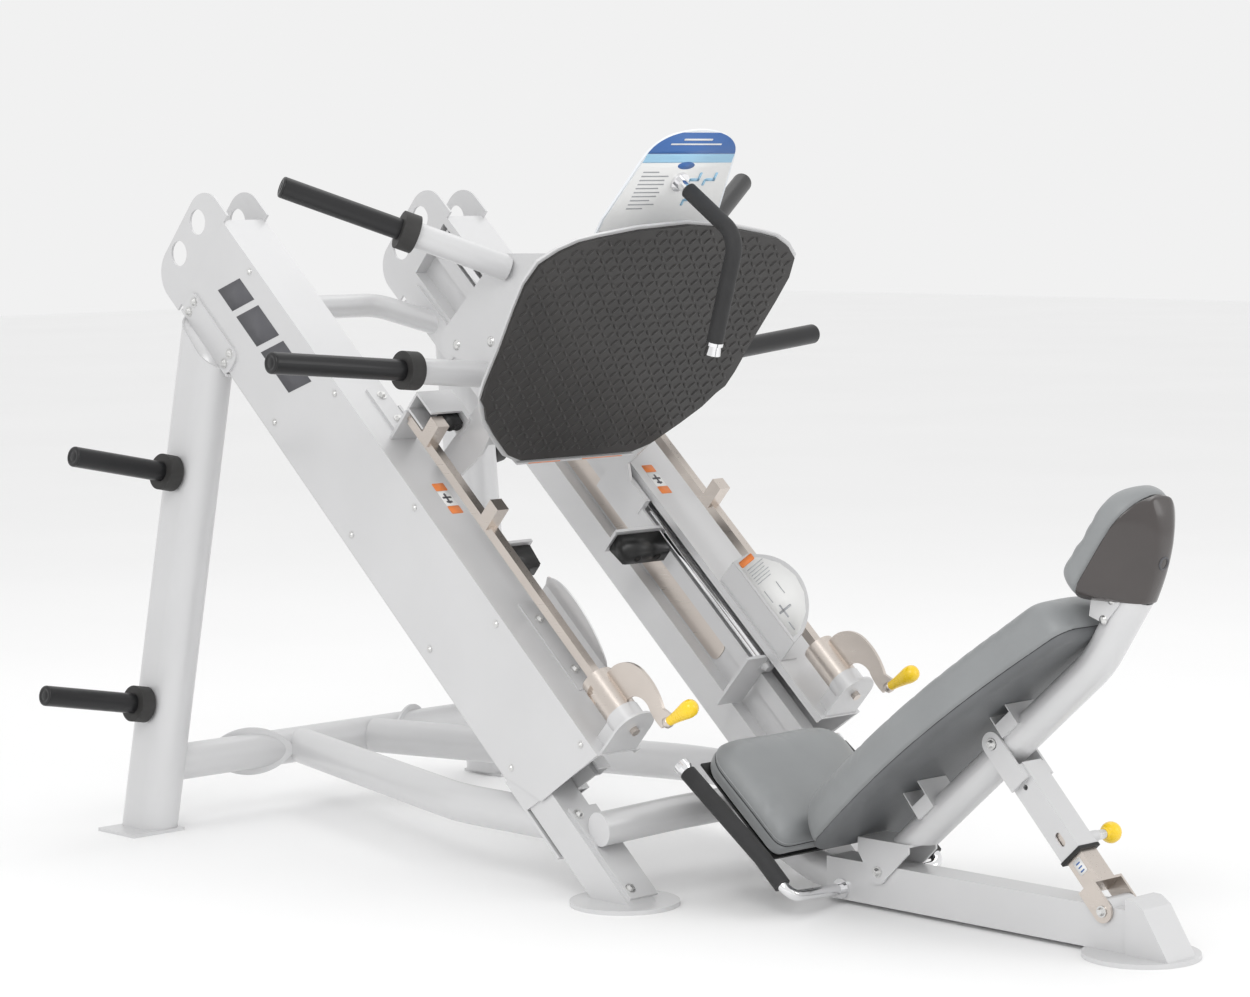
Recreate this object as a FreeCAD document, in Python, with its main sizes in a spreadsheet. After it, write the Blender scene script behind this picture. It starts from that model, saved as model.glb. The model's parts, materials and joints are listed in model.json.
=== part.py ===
import FreeCAD, Part
import math
import os
import re
from FreeCAD import Placement, Rotation, Vector

# Plate-loaded angled leg press.  +X runs from the head of the rails towards the
# seat end, +Y to the user's right, +Z up, and the origin is on the floor under
# the middle of the machine.  Lengths are millimetres, angles degrees.

DRIVING = {
    "rail_length": 1740, "rail_depth": 268, "rail_width": 128, "rail_outer": 419,
    "rail_wall": 5, "rail_angle": 41.5, "rail_top": 1483.5, "middle": 1160.7,
    "cover_thickness": 3, "plate_thickness": 6, "rod_radius": 12.7, "rod_run": 1496,
    "strip_thickness": 2, "strip_width": 60, "strip_length": 1228,
    "leg_size": 80, "foot_radius": 121, "foot_thickness": 10,
    "base_tube_radius": 44.5, "front_tube_radius": 38, "arch_tube_radius": 30,
    "tube_wall": 4, "upright_round": 52.5, "upright_flat": 50,
    "bolt_radius": 9, "bolt_head": 7, "pin_radius": 19, "sleeve_radius": 24.5,
    "collar_radius": 44, "collar_length": 38, "horn_tube_radius": 30,
    "storage_run": 260, "upper_horn_run": 318, "lower_horn_run": 390,
    "bar_size": 22, "hub_radius": 38, "block_size": 34, "block_height": 64,
    "press_angle": 35.2, "press_plate": 6, "mat_thickness": 8,
    "spine_height": 90, "spine_width": 80, "back_tube_radius": 38,
    "seat_angle": 40, "seat_length": 300, "seat_width": 410, "seat_thickness": 66,
    "recline": 41.1, "pad_angle": 38, "back_length": 864, "back_width": 300,
    "back_middle_width": 372, "back_top_width": 230, "back_cushion": 106,
    "back_shell": 10, "head_angle": 56, "head_length": 270, "head_width": 210,
    "head_cushion": 58, "handle_radius": 12.5,
    "grip_radius": 19, "prop_size": 60, "prop_inner_size": 48, "prop_angle": 43.5,
    "prop_reach": 427, "ball_radius": 23, "screw_radius": 6,
}

doc = FreeCAD.newDocument("LegPress")
sheet = doc.addObject("Spreadsheet::Sheet", "Dims")
for row, (word, value) in enumerate(DRIVING.items(), start=1):
    sheet.set(f"A{row}", word)
    sheet.set(f"B{row}", str(value))
    sheet.setAlias(f"B{row}", word)
doc.recompute()


class D:
    """The sheet's values, read back by name."""


for word in DRIVING:
    setattr(D, word, float(sheet.get(word)))

X, Y, Z = Vector(1, 0, 0), Vector(0, 1, 0), Vector(0, 0, 1)
WORD = re.compile(r"\b(" + "|".join(DRIVING) + r")\b")
NODES = {}


# ---------------------------------------------------------------- frames

def turned(angle, base, axis=Y):
    return Placement(Vector(*base), Rotation(axis, angle))


FLOOR = turned(0, (-D.middle, 0, 0))
RAIL = turned(D.rail_angle, (-D.middle, 0, D.rail_top))
PRESS = turned(D.press_angle, (-D.middle, 0, 0))
PRESS_FACE = PRESS * turned(90, (0, 0, 0), Z)
SEAT = turned(D.seat_angle, (1425 - D.middle, 0, 350))
HINGE = (1782 - D.middle, 0, 86)
BACK = turned(-D.recline, HINGE)
PAD = turned(-D.pad_angle, (1674 - D.middle, 0, 138))
HEAD = turned(-D.head_angle, (2345.3 - D.middle, 0, 722.3))
PROP = turned(-D.prop_angle, (2394 - D.middle, 0, 90))


def rail_point(along, out):
    """X and Z, before the shift to the middle, of a point in the rail frame."""
    point = turned(D.rail_angle, (0, 0, D.rail_top)).multVec(Vector(along, 0, out))
    return point.x, point.z


# ---------------------------------------------------------------- shape helpers

def bind(thing, **sizes):
    for name, size in sizes.items():
        if isinstance(size, str):
            thing.setExpression(name, WORD.sub(r"Dims.\1", size))
        else:
            setattr(thing, name, size)


def box(frame, at, size):
    """A box with its lowest corner at `at` in a frame; sizes may be sheet formulas."""
    thing = doc.addObject("Part::Box", "Block")
    bind(thing, Length=size[0], Width=size[1], Height=size[2])
    thing.Placement = frame * Placement(Vector(*at), Rotation())
    return thing


def cylinder(frame, at, axis, radius, height):
    thing = doc.addObject("Part::Cylinder", "Round")
    bind(thing, Radius=radius, Height=height)
    thing.Placement = frame * Placement(Vector(*at), Rotation(Z, Vector(*axis)))
    return thing


def cone(frame, at, axis, radius, end_radius, height):
    thing = doc.addObject("Part::Cone", "Taper")
    bind(thing, Radius1=radius, Radius2=end_radius, Height=height)
    thing.Placement = frame * Placement(Vector(*at), Rotation(Z, Vector(*axis)))
    return thing


def ball(frame, at, radius):
    thing = doc.addObject("Part::Sphere", "Ball")
    bind(thing, Radius=radius)
    thing.Placement = frame * Placement(Vector(*at), Rotation())
    return thing


def fuse(*things):
    thing = doc.addObject("Part::MultiFuse", "Joined")
    thing.Shapes = list(things)
    return thing


def group(*things):
    thing = doc.addObject("Part::Compound", "Set")
    thing.Links = list(things)
    return thing


def shared(first, second):
    thing = doc.addObject("Part::MultiCommon", "Shared")
    thing.Shapes = [first, second]
    return thing


def cut(base, *tools):
    thing = doc.addObject("Part::Cut", "Trimmed")
    thing.Base = base
    thing.Tool = tools[0] if len(tools) == 1 else fuse(*tools)
    return thing


def mirrored(source):
    thing = doc.addObject("Part::Mirroring", "Mirror")
    thing.Source = source
    thing.Normal = Y
    return thing


def plane_of(body, role):
    return next(f for f in body.Origin.OriginFeatures if f.Role == role)


def outline_edges(points):
    """Sketch edges through (x, z) points; a point of four numbers ends an arc."""
    edges = []
    last = points[-1][-2:]
    for point in points:
        start, end = Vector(*last, 0), Vector(*point[-2:], 0)
        if len(point) == 4:
            edges.append(Part.Arc(start, Vector(*point[:2], 0), end))
        else:
            edges.append(Part.LineSegment(start, end))
        last = point[-2:]
    return edges


def plate(frame, y, outline, thickness, holes=()):
    """A flat plate drawn in a frame's X-Z plane at y and thickened towards +Y."""
    body = doc.addObject("PartDesign::Body", "Plate")
    body.Placement = frame * Placement(Vector(0, y, 0), Rotation())
    sketch = body.newObject("Sketcher::SketchObject", "Outline")
    sketch.AttachmentSupport = [(plane_of(body, "XZ_Plane"), "")]
    sketch.MapMode = "FlatFace"
    sketch.addGeometry(outline_edges(outline), False)
    for x, z, radius in holes:
        sketch.addGeometry(Part.Circle(Vector(x, z, 0), Z, radius), False)
    pad = body.newObject("PartDesign::Pad", "Thickness")
    pad.Profile = sketch
    bind(pad, Length=thickness)
    pad.Reversed = True
    return body


def rounded_box(length, height, radius):
    """Outline of a rectangle from (0, 0) with four round corners."""
    r, k = radius, radius * (1 - math.sqrt(0.5))
    return [(length - r, 0), (length - k, k, length, r), (length, height - r),
            (length - k, height - k, length - r, height), (r, height),
            (k, height - k, 0, height - r), (0, r), (k, k, r, 0)]


def shifted(outline, x, z):
    return [tuple(v + (x, z)[i % 2] for i, v in enumerate(point)) for point in outline]


def spine_wire(points, bend):
    """Straight runs through the points, joined by arcs of one bend radius."""
    points = [Vector(*p) for p in points]
    edges, start = [], points[0]
    for before, corner, after in zip(points, points[1:], points[2:]):
        into = (corner - before).normalize()
        out = (after - corner).normalize()
        turn = into.getAngle(out)
        reach = bend * math.tan(turn / 2)
        inner = (out - into).normalize()
        middle = corner + inner * bend * (1 / math.cos(turn / 2) - 1)
        arc_start, arc_end = corner - into * reach, corner + out * reach
        edges.append(Part.LineSegment(start, arc_start).toShape())
        edges.append(Part.Arc(arc_start, middle, arc_end).toShape())
        start = arc_end
    edges.append(Part.LineSegment(start, points[-1]).toShape())
    return Part.Wire(edges)


def swept(frame, points, bend, radius):
    """A solid round bar along straight runs and bends."""
    spine = doc.addObject("Part::Feature", "Path")
    spine.Shape = spine_wire(points, bend)
    spine.Placement = frame
    ring = doc.addObject("Part::Circle", "Section")
    bind(ring, Radius=radius)
    heading = Vector(*points[1]) - Vector(*points[0])
    ring.Placement = frame * Placement(Vector(*points[0]), Rotation(Z, heading))
    thing = doc.addObject("Part::Sweep", "Bar")
    thing.Sections = [ring]
    thing.Spine = (spine, [f"Edge{n + 1}" for n in range(len(spine.Shape.Edges))])
    thing.Solid = True
    return thing


def tube(frame, points, bend, radius, wall="tube_wall"):
    outer = swept(frame, points, bend, radius)
    return cut(outer, swept(frame, points, bend, f"{radius} - {wall}"))


def pipe(frame, start, end, radius, wall="tube_wall"):
    """A straight tube between two points of a frame."""
    axis = Vector(*end) - Vector(*start)
    outer = cylinder(frame, start, tuple(axis), radius, axis.Length)
    return cut(outer, cylinder(frame, start, tuple(axis), f"{radius} - {wall}", axis.Length))


def bolt(frame, at, axis, radius="bolt_radius", head="bolt_head"):
    """A button-head bolt's visible head, standing on a surface at `at`."""
    washer = cylinder(frame, at, axis, f"{radius} * 1.35", 2)
    top = Vector(*at) + Vector(*axis).normalize() * 2
    return fuse(washer, cone(frame, tuple(top), axis, radius, f"{radius} * 0.6", head))


def node(name, thing):
    thing.Label = name
    NODES[name] = thing
    return thing


def pair(name, thing):
    """A left-hand node and its mirror image on the right."""
    node("left_" + name, thing)
    node("right_" + name, mirrored(thing))


def both(name, thing):
    """One node that holds a left-hand piece and its mirror image."""
    node(name, group(thing, mirrored(thing)))


# ---------------------------------------------------------------- rails

OUTER = -D.rail_outer
INNER = OUTER + D.rail_width
LIP = 78                     # depth of the rear lip on the rail's open side
ROD_Y, ROD_OUT = -306, -50   # the guide rod's centre line in the rail frame


def rail():
    """A folded channel, open towards the carriage, with a stepped inner panel."""
    back, wall = -D.rail_depth, D.rail_wall
    strips = [
        (OUTER, OUTER + wall, back, 0), (OUTER, INNER, -wall, 0),
        (OUTER, INNER, back, back + wall), (INNER - wall, INNER, back, back + LIP),
        (INNER - wall, INNER, -20, 0), (-332, INNER, back + LIP - wall, back + LIP),
        (-332, -327, back + LIP - wall, -118), (-332, -314, -123, -118),
        (-319, -314, -123, -82), (-350, -314, -87, -82),
    ]
    walls = [box(RAIL, (0, y0, z0), ("rail_length", y1 - y0, z1 - z0))
             for y0, y1, z0, z1 in strips]
    slope = math.degrees(math.atan2(76, D.rail_depth))
    end = RAIL * turned(slope, (D.rail_length, 0, 0))
    return cut(fuse(*walls), box(end, (0, OUTER - 20, -400), (300, 200, 500)))


def rail_cover():
    length = D.rail_length - 1
    outline = [(0, 0), (length, 0), (length - 55, -215), (length - 172, -262), (0, -262)]
    return plate(RAIL, OUTER - D.cover_thickness, outline, "cover_thickness")


def head_plates():
    """Two round-shouldered plates with lifting holes and the cap between them."""
    outline = [(0, 20), (-58, 20), (-108, -2, -128, -52), (-128, -218),
               (-108, -268, -58, -290), (0, -290)]
    holes = ((-79, -71, 31), (-86, -180, 31))
    plates = [plate(RAIL, y, outline, "plate_thickness", holes) for y in (OUTER, INNER - 6)]
    cap = box(RAIL, (-6, OUTER + 6, -268), (6, "rail_width - 2 * plate_thickness", 268))
    return fuse(*plates, cap)


def rod_mounts():
    """Cross plates that hold the guide rod in the channel at both ends."""
    low = 20 + D.rod_run
    plate_low = box(RAIL, (low, -314, -180), (8, 84, 158))
    tongue = box(RAIL, (low, -345, -80), (8, 32, 58))
    nut = bolt(RAIL, (low + 8, ROD_Y, ROD_OUT), (1, 0, 0), 14, 12)
    return group(fuse(plate_low, tongue, nut), box(RAIL, (12, -414, -80), (8, 114, 60)))


def front_leg():
    """The rail's box-section leg, its floor disc and the two tube plates."""
    size, wall = D.leg_size, D.tube_wall
    start, run = 1548, 560
    outer = box(RAIL, (start, OUTER + 5, -262), (run, "leg_size", "leg_size"))
    hollow = box(RAIL, (start, OUTER + 5 + wall, -262 + wall),
                 (run, "leg_size - 2 * tube_wall", "leg_size - 2 * tube_wall"))
    ground = box(FLOOR, (900, -600, -400), (900, 500, 400 + D.foot_thickness))
    leg = cut(outer, hollow, ground)
    disc = cylinder(FLOOR, (1335, OUTER + 5 + size / 2, 0), (0, 0, 1),
                    "foot_radius", "foot_thickness")
    front = box(RAIL, (1742, -402, -262 + size), (262, 82, "plate_thickness"))
    return fuse(leg, disc, front)


def guide_rod():
    return cylinder(RAIL, (20, ROD_Y, ROD_OUT), (1, 0, 0), "rod_radius", "rod_run")


pair("rail", rail())
both("rail_covers", rail_cover())
both("head_plates", head_plates())
both("guide_rods", guide_rod())
both("rod_mounts", rod_mounts())
pair("front_leg", front_leg())

strips = [plate(RAIL, side, shifted(rounded_box(D.strip_length, D.strip_width, 22),
                                    167, -184), "strip_thickness")
          for side in (-327, 325)]
node("wear_strips", group(*strips))

screws = [(along, -232) for along in (457, 835, 1203, 1568)]
screws += [(along, -22) for along in (154, 577, 955, 1323, 1688)]
covers = [bolt(RAIL, (s, side * (D.rail_outer + D.cover_thickness), out),
               (0, side, 0), "screw_radius", 3)
          for side in (-1, 1) for s, out in screws]
node("cover_screws", group(*covers))


# ---------------------------------------------------------------- uprights and base

FOOT = Vector(-157, -562, 8)
CROWN = Vector(-85, -405, 1215)
LEAN = (CROWN - FOOT).normalize()
STORAGE = ((300, 10.5), (862, 11.6))   # height on the upright and upward tilt of each peg


def upright_frame():
    side = LEAN.cross(X).normalize()
    return FLOOR * Placement(FOOT, Rotation(side.cross(LEAN), side, LEAN, "ZXY"))


REACH = 1320                            # long enough to pass the rail before trimming


def oval_bar(frame, radius, low, high):
    """A bar of oval section along a frame's Z."""
    flat = D.upright_flat
    ends = [cylinder(frame, (x, 0, low), (0, 0, 1), radius, high - low)
            for x in (-flat / 2, flat / 2)]
    half = D.upright_round - (D.tube_wall if "wall" in radius else 0)
    core = box(frame, (-flat / 2, -half, low), ("upright_flat", 2 * half, high - low))
    return fuse(*ends, core)


def peg_frame(height, tilt):
    """Z along the peg, from the upright's centre line out and up."""
    point = FOOT + LEAN * ((height - FOOT.z) / LEAN.z)
    return FLOOR * Placement(point, Rotation(X, 90 - tilt))


def upright():
    """A leaning oval tube with its floor plate, rail saddle and two pegs."""
    frame = upright_frame()
    solid = oval_bar(frame, "upright_round", -80, REACH)
    bore = oval_bar(frame, "upright_round - tube_wall", -90, REACH + 10)
    ground = box(FLOOR, (-500, -900, -400), (900, 800, 408))
    above = box(RAIL, (-700, -700, -274), (1500, 600, 700))
    pole = cut(solid, bore, ground, above)
    foot = box(FLOOR, (-222, -670, 0), (148, 152, 8))
    back = box(RAIL, (18, -428, -274), (236, 143, "plate_thickness"))
    ear = shifted(rounded_box(236, 70, 22), 18, -274)
    ears = [plate(RAIL, y, ear, "plate_thickness") for y in (-428, INNER)]
    pegs = []
    for height, tilt in STORAGE:
        peg = cylinder(peg_frame(height, tilt), (0, 0, 20), (0, 0, 1), "pin_radius",
                       D.upright_round + D.collar_length + D.storage_run - 20)
        pegs.append(cut(peg, oval_bar(frame, "upright_round - tube_wall", -90, REACH)))
    return fuse(pole, foot, back, *ears, *pegs)


pair("upright", upright())


def on_pegs(radius, start, run):
    """Rings round the four storage pegs."""
    rings = []
    for height, tilt in STORAGE:
        frame = peg_frame(height, tilt)
        ring = cut(cylinder(frame, (0, 0, start), (0, 0, 1), radius, run),
                   cylinder(frame, (0, 0, start - 5), (0, 0, 1), "pin_radius", f"{run} + 10"))
        rings += [ring, mirrored(ring)]
    return rings


peg_root = D.upright_round + 6
node("storage_collars", group(*on_pegs("collar_radius", peg_root, "collar_length")))
node("storage_sleeves", group(*on_pegs("sleeve_radius", peg_root + D.collar_length,
                                       "storage_run - 6")))

BASE_X, BASE_Z = -140, 157   # centre line of the rear floor tube
LEG_Y = OUTER + 5 + D.leg_size / 2


def joint_plate(side):
    """The oval plate where a side tube's load meets the cross tube."""
    frame = FLOOR * turned(-side * 62, (BASE_X, side * 262, BASE_Z), Z)
    return plate(frame, -3, [(0, -60, 115, 0), (0, 60, -115, 0)], "plate_thickness")


def base_cross_tube():
    """The rear floor tube between the uprights, with its two oval joint plates."""
    bar = pipe(FLOOR, (BASE_X, -545, BASE_Z), (BASE_X, 545, BASE_Z), "base_tube_radius")
    uprights = oval_bar(upright_frame(), "upright_round", 0, 400)
    core = cylinder(FLOOR, (BASE_X, -600, BASE_Z), (0, 1, 0), "base_tube_radius", 1200)
    ovals = [cut(joint_plate(side), core) for side in (-1, 1)]
    return fuse(cut(bar, uprights, mirrored(uprights)), *ovals)


def base_side_tube():
    """A floor tube bowing out from the cross tube to the front leg."""
    start, knee, end = (BASE_X + 30, -118, BASE_Z), (790, LEG_Y, BASE_Z), (1200, LEG_Y, BASE_Z)
    bar = tube(FLOOR, [start, knee, end], 500, "base_tube_radius")
    core = cylinder(FLOOR, (BASE_X, -600, BASE_Z), (0, 1, 0), "base_tube_radius", 1200)
    behind = box(RAIL, (1300, -600, -276), (700, 500, 400))
    mount = box(RAIL, (1575, LEG_Y - 44, -276), (228, 88, 8))
    return fuse(cut(bar, core, joint_plate(-1), behind), mount)


node("base_cross_tube", base_cross_tube())
both("base_side_tubes", base_side_tube())

ARCH_END = (-69, 285, 1218)


def arch_tube():
    """The bowed tube that ties the two rail saddles together."""
    x, y, z = ARCH_END
    points = [(x + 20, -y - 31, z - 12), (x - 75, 115 - y, z + 44), (x - 75, y - 115, z + 44),
              (x + 20, y + 31, z - 12)]
    ears = [box(FLOOR, (-300, at, 1000), (500, 100, 500)) for at in (-y - 100, y)]
    return cut(tube(FLOOR, points, 110, "arch_tube_radius"), *ears)


node("arch_tube", arch_tube())


# ---------------------------------------------------------------- front tube and spine

SPINE_START, SPINE_END, SPINE_LOW = 1626, 2452, 10
SPINE_MID = SPINE_LOW + D.spine_height / 2


FRONT_X, FRONT_Z = rail_point(1835, -142)
CENTRE_RUN = [(FRONT_X + 22, 0, FRONT_Z + 12), (1560, 0, 62), (SPINE_START, 0, SPINE_MID)]


def front_run(reach):
    """The slightly bowed path across the two legs, ending at y = -reach and +reach."""
    x, z = FRONT_X, FRONT_Z
    return [(x, -reach, z), (x + 22, -190, z + 12), (x + 22, 190, z + 12), (x, reach, z)]


def front_tube():
    """The tube across the two legs and the one running back to the seat spine."""
    bars = fuse(swept(FLOOR, front_run(398), 400, "front_tube_radius"),
                swept(FLOOR, CENTRE_RUN, 160, "front_tube_radius"))
    bores = fuse(swept(FLOOR, front_run(394), 400, "front_tube_radius - tube_wall"),
                 swept(FLOOR, CENTRE_RUN, 160, "front_tube_radius - tube_wall"))
    legs = box(RAIL, (1600, -500, -476), (500, 1000, 300))
    beyond = box(FLOOR, (SPINE_START, -100, -50), (200, 200, 300))
    return cut(bars, bores, legs, beyond)


def spine():
    """The low box tube under the seat end, its pivot bosses, end cap and floor disc."""
    half = D.spine_width / 2
    run = SPINE_END - SPINE_START
    outer = box(FLOOR, (SPINE_START, -half, SPINE_LOW), (run, "spine_width", "spine_height"))
    hollow = box(FLOOR, (SPINE_START + 6, 4 - half, SPINE_LOW + 4),
                 (run, "spine_width - 2 * tube_wall", "spine_height - 2 * tube_wall"))
    cap = plate(FLOOR, -46, [(SPINE_END, 10), (SPINE_END + 108, 10), (SPINE_END + 44, 108),
                             (SPINE_END + 20, 124), (SPINE_END, 124)], 92)
    disc = cylinder(FLOOR, (2458, 0, 0), (0, 0, 1), "foot_radius", "foot_thickness")
    bosses, bores = [], []
    for (x, z), radius in (((1782, 86), 13), ((2394, 90), 26)):
        bosses.append(cylinder(FLOOR, (x, -half, z), (0, 1, 0), radius, "spine_width"))
        bores.append(cylinder(FLOOR, (x, -half, z), (0, 1, 0), "bolt_radius", "spine_width"))
    return cut(fuse(cut(outer, hollow), cap, disc, *bosses), *bores)


def pivot_bolt(frame, at, reach):
    """A through bolt along Y with a head at each end."""
    x, y, z = at
    pin = cylinder(frame, (x, -reach, z), (0, 1, 0), "bolt_radius", 2 * reach)
    return fuse(pin, bolt(frame, (x, -reach, z), (0, -1, 0)),
                bolt(frame, (x, reach, z), (0, 1, 0)))


CLEVIS_IN, CLEVIS_OUT = 41.5, 47.5   # faces of the pivot plates either side of a tube
node("front_tube", front_tube())
node("spine", spine())
node("back_pivot_bolt", pivot_bolt(FLOOR, (1782, 0, 86), CLEVIS_OUT + 0.5))
node("prop_pivot_bolt", pivot_bolt(FLOOR, (2394, 0, 90), CLEVIS_OUT + 0.5))


# ---------------------------------------------------------------- seat

def seat_base():
    """The plate under the seat pad and its post down to the front tube."""
    below, wide = D.seat_thickness, D.seat_width - 32
    board = box(SEAT, (8, -wide / 2, -below - 5), (D.seat_length - 16, wide, 5))
    post = box(SEAT, (105, -25, -below - 95), (70, 50, 92))
    return fuse(board, cut(post, swept(FLOOR, CENTRE_RUN, 160, "front_tube_radius")))


def seat_pad():
    outline = rounded_box(D.seat_length, D.seat_thickness, 26)
    return plate(SEAT, -D.seat_width / 2, shifted(outline, 0, -D.seat_thickness),
                 "seat_width")


HANDLE = [(1672, -43, 34), (1712, -245, 52), (1628, -245, 124), (1404, -245, 282)]
HANDLE_BEND = 30


def seat_handle():
    """A chrome bar from the spine out and up beside the seat, with its end knob."""
    bar = swept(FLOOR, HANDLE, HANDLE_BEND, "handle_radius")
    tip = Vector(*HANDLE[-1])
    run = (tip - Vector(*HANDLE[-2])).normalize()
    flare = cone(FLOOR, tuple(tip), tuple(run), "handle_radius", 19, 12)
    knob = cylinder(FLOOR, tuple(tip + run * 12), tuple(run), 19, 14)
    flange = cylinder(FLOOR, (HANDLE[0][0], -D.spine_width / 2, HANDLE[0][2]), (0, -1, 0), 22, 6)
    return fuse(bar, flare, knob, flange)


def seat_grip():
    """The foam sleeve on a seat handle."""
    knee, tip = Vector(*HANDLE[2]), Vector(*HANDLE[3])
    lower = Vector(*HANDLE[1]) - knee
    low = knee + lower * (1 - (HANDLE_BEND + 2) / lower.Length)
    points = [tuple(low), tuple(knee), tuple(tip)]
    return cut(swept(FLOOR, points, HANDLE_BEND, "grip_radius"),
               swept(FLOOR, points, HANDLE_BEND, "handle_radius"))


node("seat_base", seat_base())
node("seat_pad", seat_pad())
pair("seat_handle", seat_handle())
both("seat_grips", seat_grip())


# ---------------------------------------------------------------- backrest

TUBE_OUT = 8                    # how far the back tube's centre lies in front of the hinge
BEND_AT, CROWN_RUN = 757, 177   # along the back tube to its bend, and beyond it
PROP_PIN = (Vector(2100, 0, 400) - Vector(1782, 0, 86))
AT_HINGE = turned(0, HINGE)
PAD_FACE = PAD * turned(-90, (0, 0, 0), X)


def back_path():
    turn = math.radians(16)
    return [(70, 0, TUBE_OUT), (BEND_AT, 0, TUBE_OUT),
            (BEND_AT + CROWN_RUN * math.cos(turn), 0, TUBE_OUT + CROWN_RUN * math.sin(turn))]


PIN_ALONG, _, PIN_OUT = turned(D.recline, (0, 0, 0)).multVec(PROP_PIN)


def back_frame():
    """The bent tube that carries the pads, with its clevis and two pad brackets."""
    bar = swept(BACK, back_path(), 240, "back_tube_radius")
    bore = swept(BACK, back_path(), 240, "back_tube_radius - tube_wall")
    under = box(AT_HINGE, (-200, -100, -200), (500, 200, 270))
    pads = box(PAD, (-100, -200, -D.back_shell), (1100, 400, 300))
    pin_hole = cylinder(BACK, (PIN_ALONG, -60, PIN_OUT), (0, 1, 0), "bolt_radius", 120)
    brackets = []
    for along in (172, 478):
        block = box(BACK, (along, -45, 20), (54, 90, 90))
        brackets.append(cut(block, box(BACK, (along + 3, -50, 52), (48, 100, 100))))
    ear = [(-57, 66), (-57, 40), (-24, -12), (0, -27, 24, -12), (88, 50), (88, 66)]
    ears = [plate(AT_HINGE, y, ear, "plate_thickness", ((0, 0, D.bolt_radius + 0.08),))
            for y in (-CLEVIS_OUT, CLEVIS_IN)]
    web = box(AT_HINGE, (-57, -CLEVIS_OUT, 64), (147, 2 * CLEVIS_OUT, "plate_thickness"))
    upper = cut(fuse(cut(bar, under), *[cut(b, pads) for b in brackets]), bore, pin_hole)
    return fuse(upper, web, *ears)


def back_outline(inset):
    """A shield: widest near its middle, narrower at the top, with cut corners."""
    low, high = D.back_width / 2 - inset, D.back_top_width / 2 - inset
    wide = D.back_middle_width / 2 - inset
    top, middle = D.back_length - inset, 0.45 * D.back_length
    return [(inset, 30 - low), (inset + 30, -low), (middle, -wide, top - 60, -high - 12),
            (top, 30 - high), (top, high - 30), (top - 60, high + 12),
            (middle, wide, inset + 30, low), (inset, low - 30)]


def cheek_room():
    """The space kept free round the headrest's cheek plates."""
    return box(HEAD, (-60, -48, -110), (180, 96, 84))


def back_pad():
    pad = plate(PAD_FACE, -D.back_cushion, back_outline(0), "back_cushion")
    return cut(pad, swept(BACK, back_path(), 240, "back_tube_radius + 3"), cheek_room())


def back_board():
    board = plate(PAD_FACE, 0, back_outline(14), "back_shell")
    return cut(board, swept(BACK, back_path(), 240, "back_tube_radius + 3"), cheek_room())


def head_bracket():
    """Two cheek plates bolted to the tube's end and the board they carry."""
    cheek = [(-21, -26), (-10, -65), (43, -73), (68, -67), (110, -6), (20, -6)]
    cheeks = [plate(HEAD, y, cheek, 5) for y in (-43.2, 38.2)]
    return fuse(box(HEAD, (20, -70, -6), (200, 140, 5)), *cheeks)


def head_pad():
    outline = rounded_box(D.head_length, D.head_cushion, 18)
    return plate(HEAD, -D.head_width / 2, outline, "head_width")


def shell_profile(inset, rim):
    """The shell seen from the side: a chin, the mouth for the tube and a tapering back."""
    length = D.head_length - inset
    return [(inset, rim), (inset - 18, -24), (30, -34 + inset), (60 + inset, -60),
            (72 + inset, -112 + inset), (184, -78 + inset), (length - 25, -48 + inset),
            (length, -10), (length, rim)]


def shell_section(inset, rim):
    """The shell seen from above: sides that close in to a round back."""
    half = D.head_width / 2 - inset
    return [(-half, rim), (-half, -14), (-46 + inset, -84), (0, -113 + inset, 46 - inset, -84),
            (half, -14), (half, rim)]


def shell_form(inset, rim):
    half = D.head_width / 2
    side = plate(HEAD, -half, shell_profile(inset, rim), "head_width")
    above = plate(HEAD * turned(90, (0, 0, 0), Z), -D.head_length, shell_section(inset, rim),
                  "head_length + 30")
    return shared(side, above)


def head_shell():
    """The moulded back of the headrest, hollow round the end of the tube."""
    mouth = box(HEAD, (-40, -46, -120), (120, 92, 130))
    return cut(shell_form(0, -1), shell_form(5, 10), mouth,
               swept(BACK, back_path(), 240, "back_tube_radius + 1"))


node("back_frame", back_frame())
node("back_board", back_board())
node("back_pad", back_pad())
node("head_bracket", head_bracket())
node("head_pad", head_pad())
node("head_shell", head_shell())


# ---------------------------------------------------------------- back prop

SLEEVE_START, SLEEVE_END = 140, 356    # the outer prop tube, from the lower pivot
PIN_AT, PIN_STEP, PIN_HOLE = 170, 16.85, 6
BOSS_END, COLLAR_END = 80, 108         # ends of the pull pin's fixed and sliding sleeves
EAR_Y = 38.8                           # the upper ears' inner faces, clear of the back tube


def prop_inner():
    """The plated inner tube with its lower clevis and five adjusting holes."""
    size = D.prop_inner_size
    body = box(PROP, (-size / 2, -size / 2, 56), ("prop_inner_size", "prop_inner_size", 222))
    hollow = box(PROP, (3 - size / 2, 3 - size / 2, 50),
                 ("prop_inner_size - 6", "prop_inner_size - 6", 280))
    holes = [cylinder(PROP, (0, 0, PIN_AT - PIN_STEP * step), (0, 1, 0), PIN_HOLE, 40)
             for step in range(5)]
    ear = [(-24, 62), (-24, 0), (0, -24, 24, 0), (24, 62)]
    ears = [plate(PROP, y, ear, "plate_thickness", ((0, 0, D.bolt_radius + 0.08),))
            for y in (-CLEVIS_OUT, CLEVIS_IN)]
    web = box(PROP, (-24, -CLEVIS_OUT, 56), (48, 2 * CLEVIS_OUT, "plate_thickness"))
    return fuse(cut(body, hollow, *holes), web, *ears)


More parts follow.
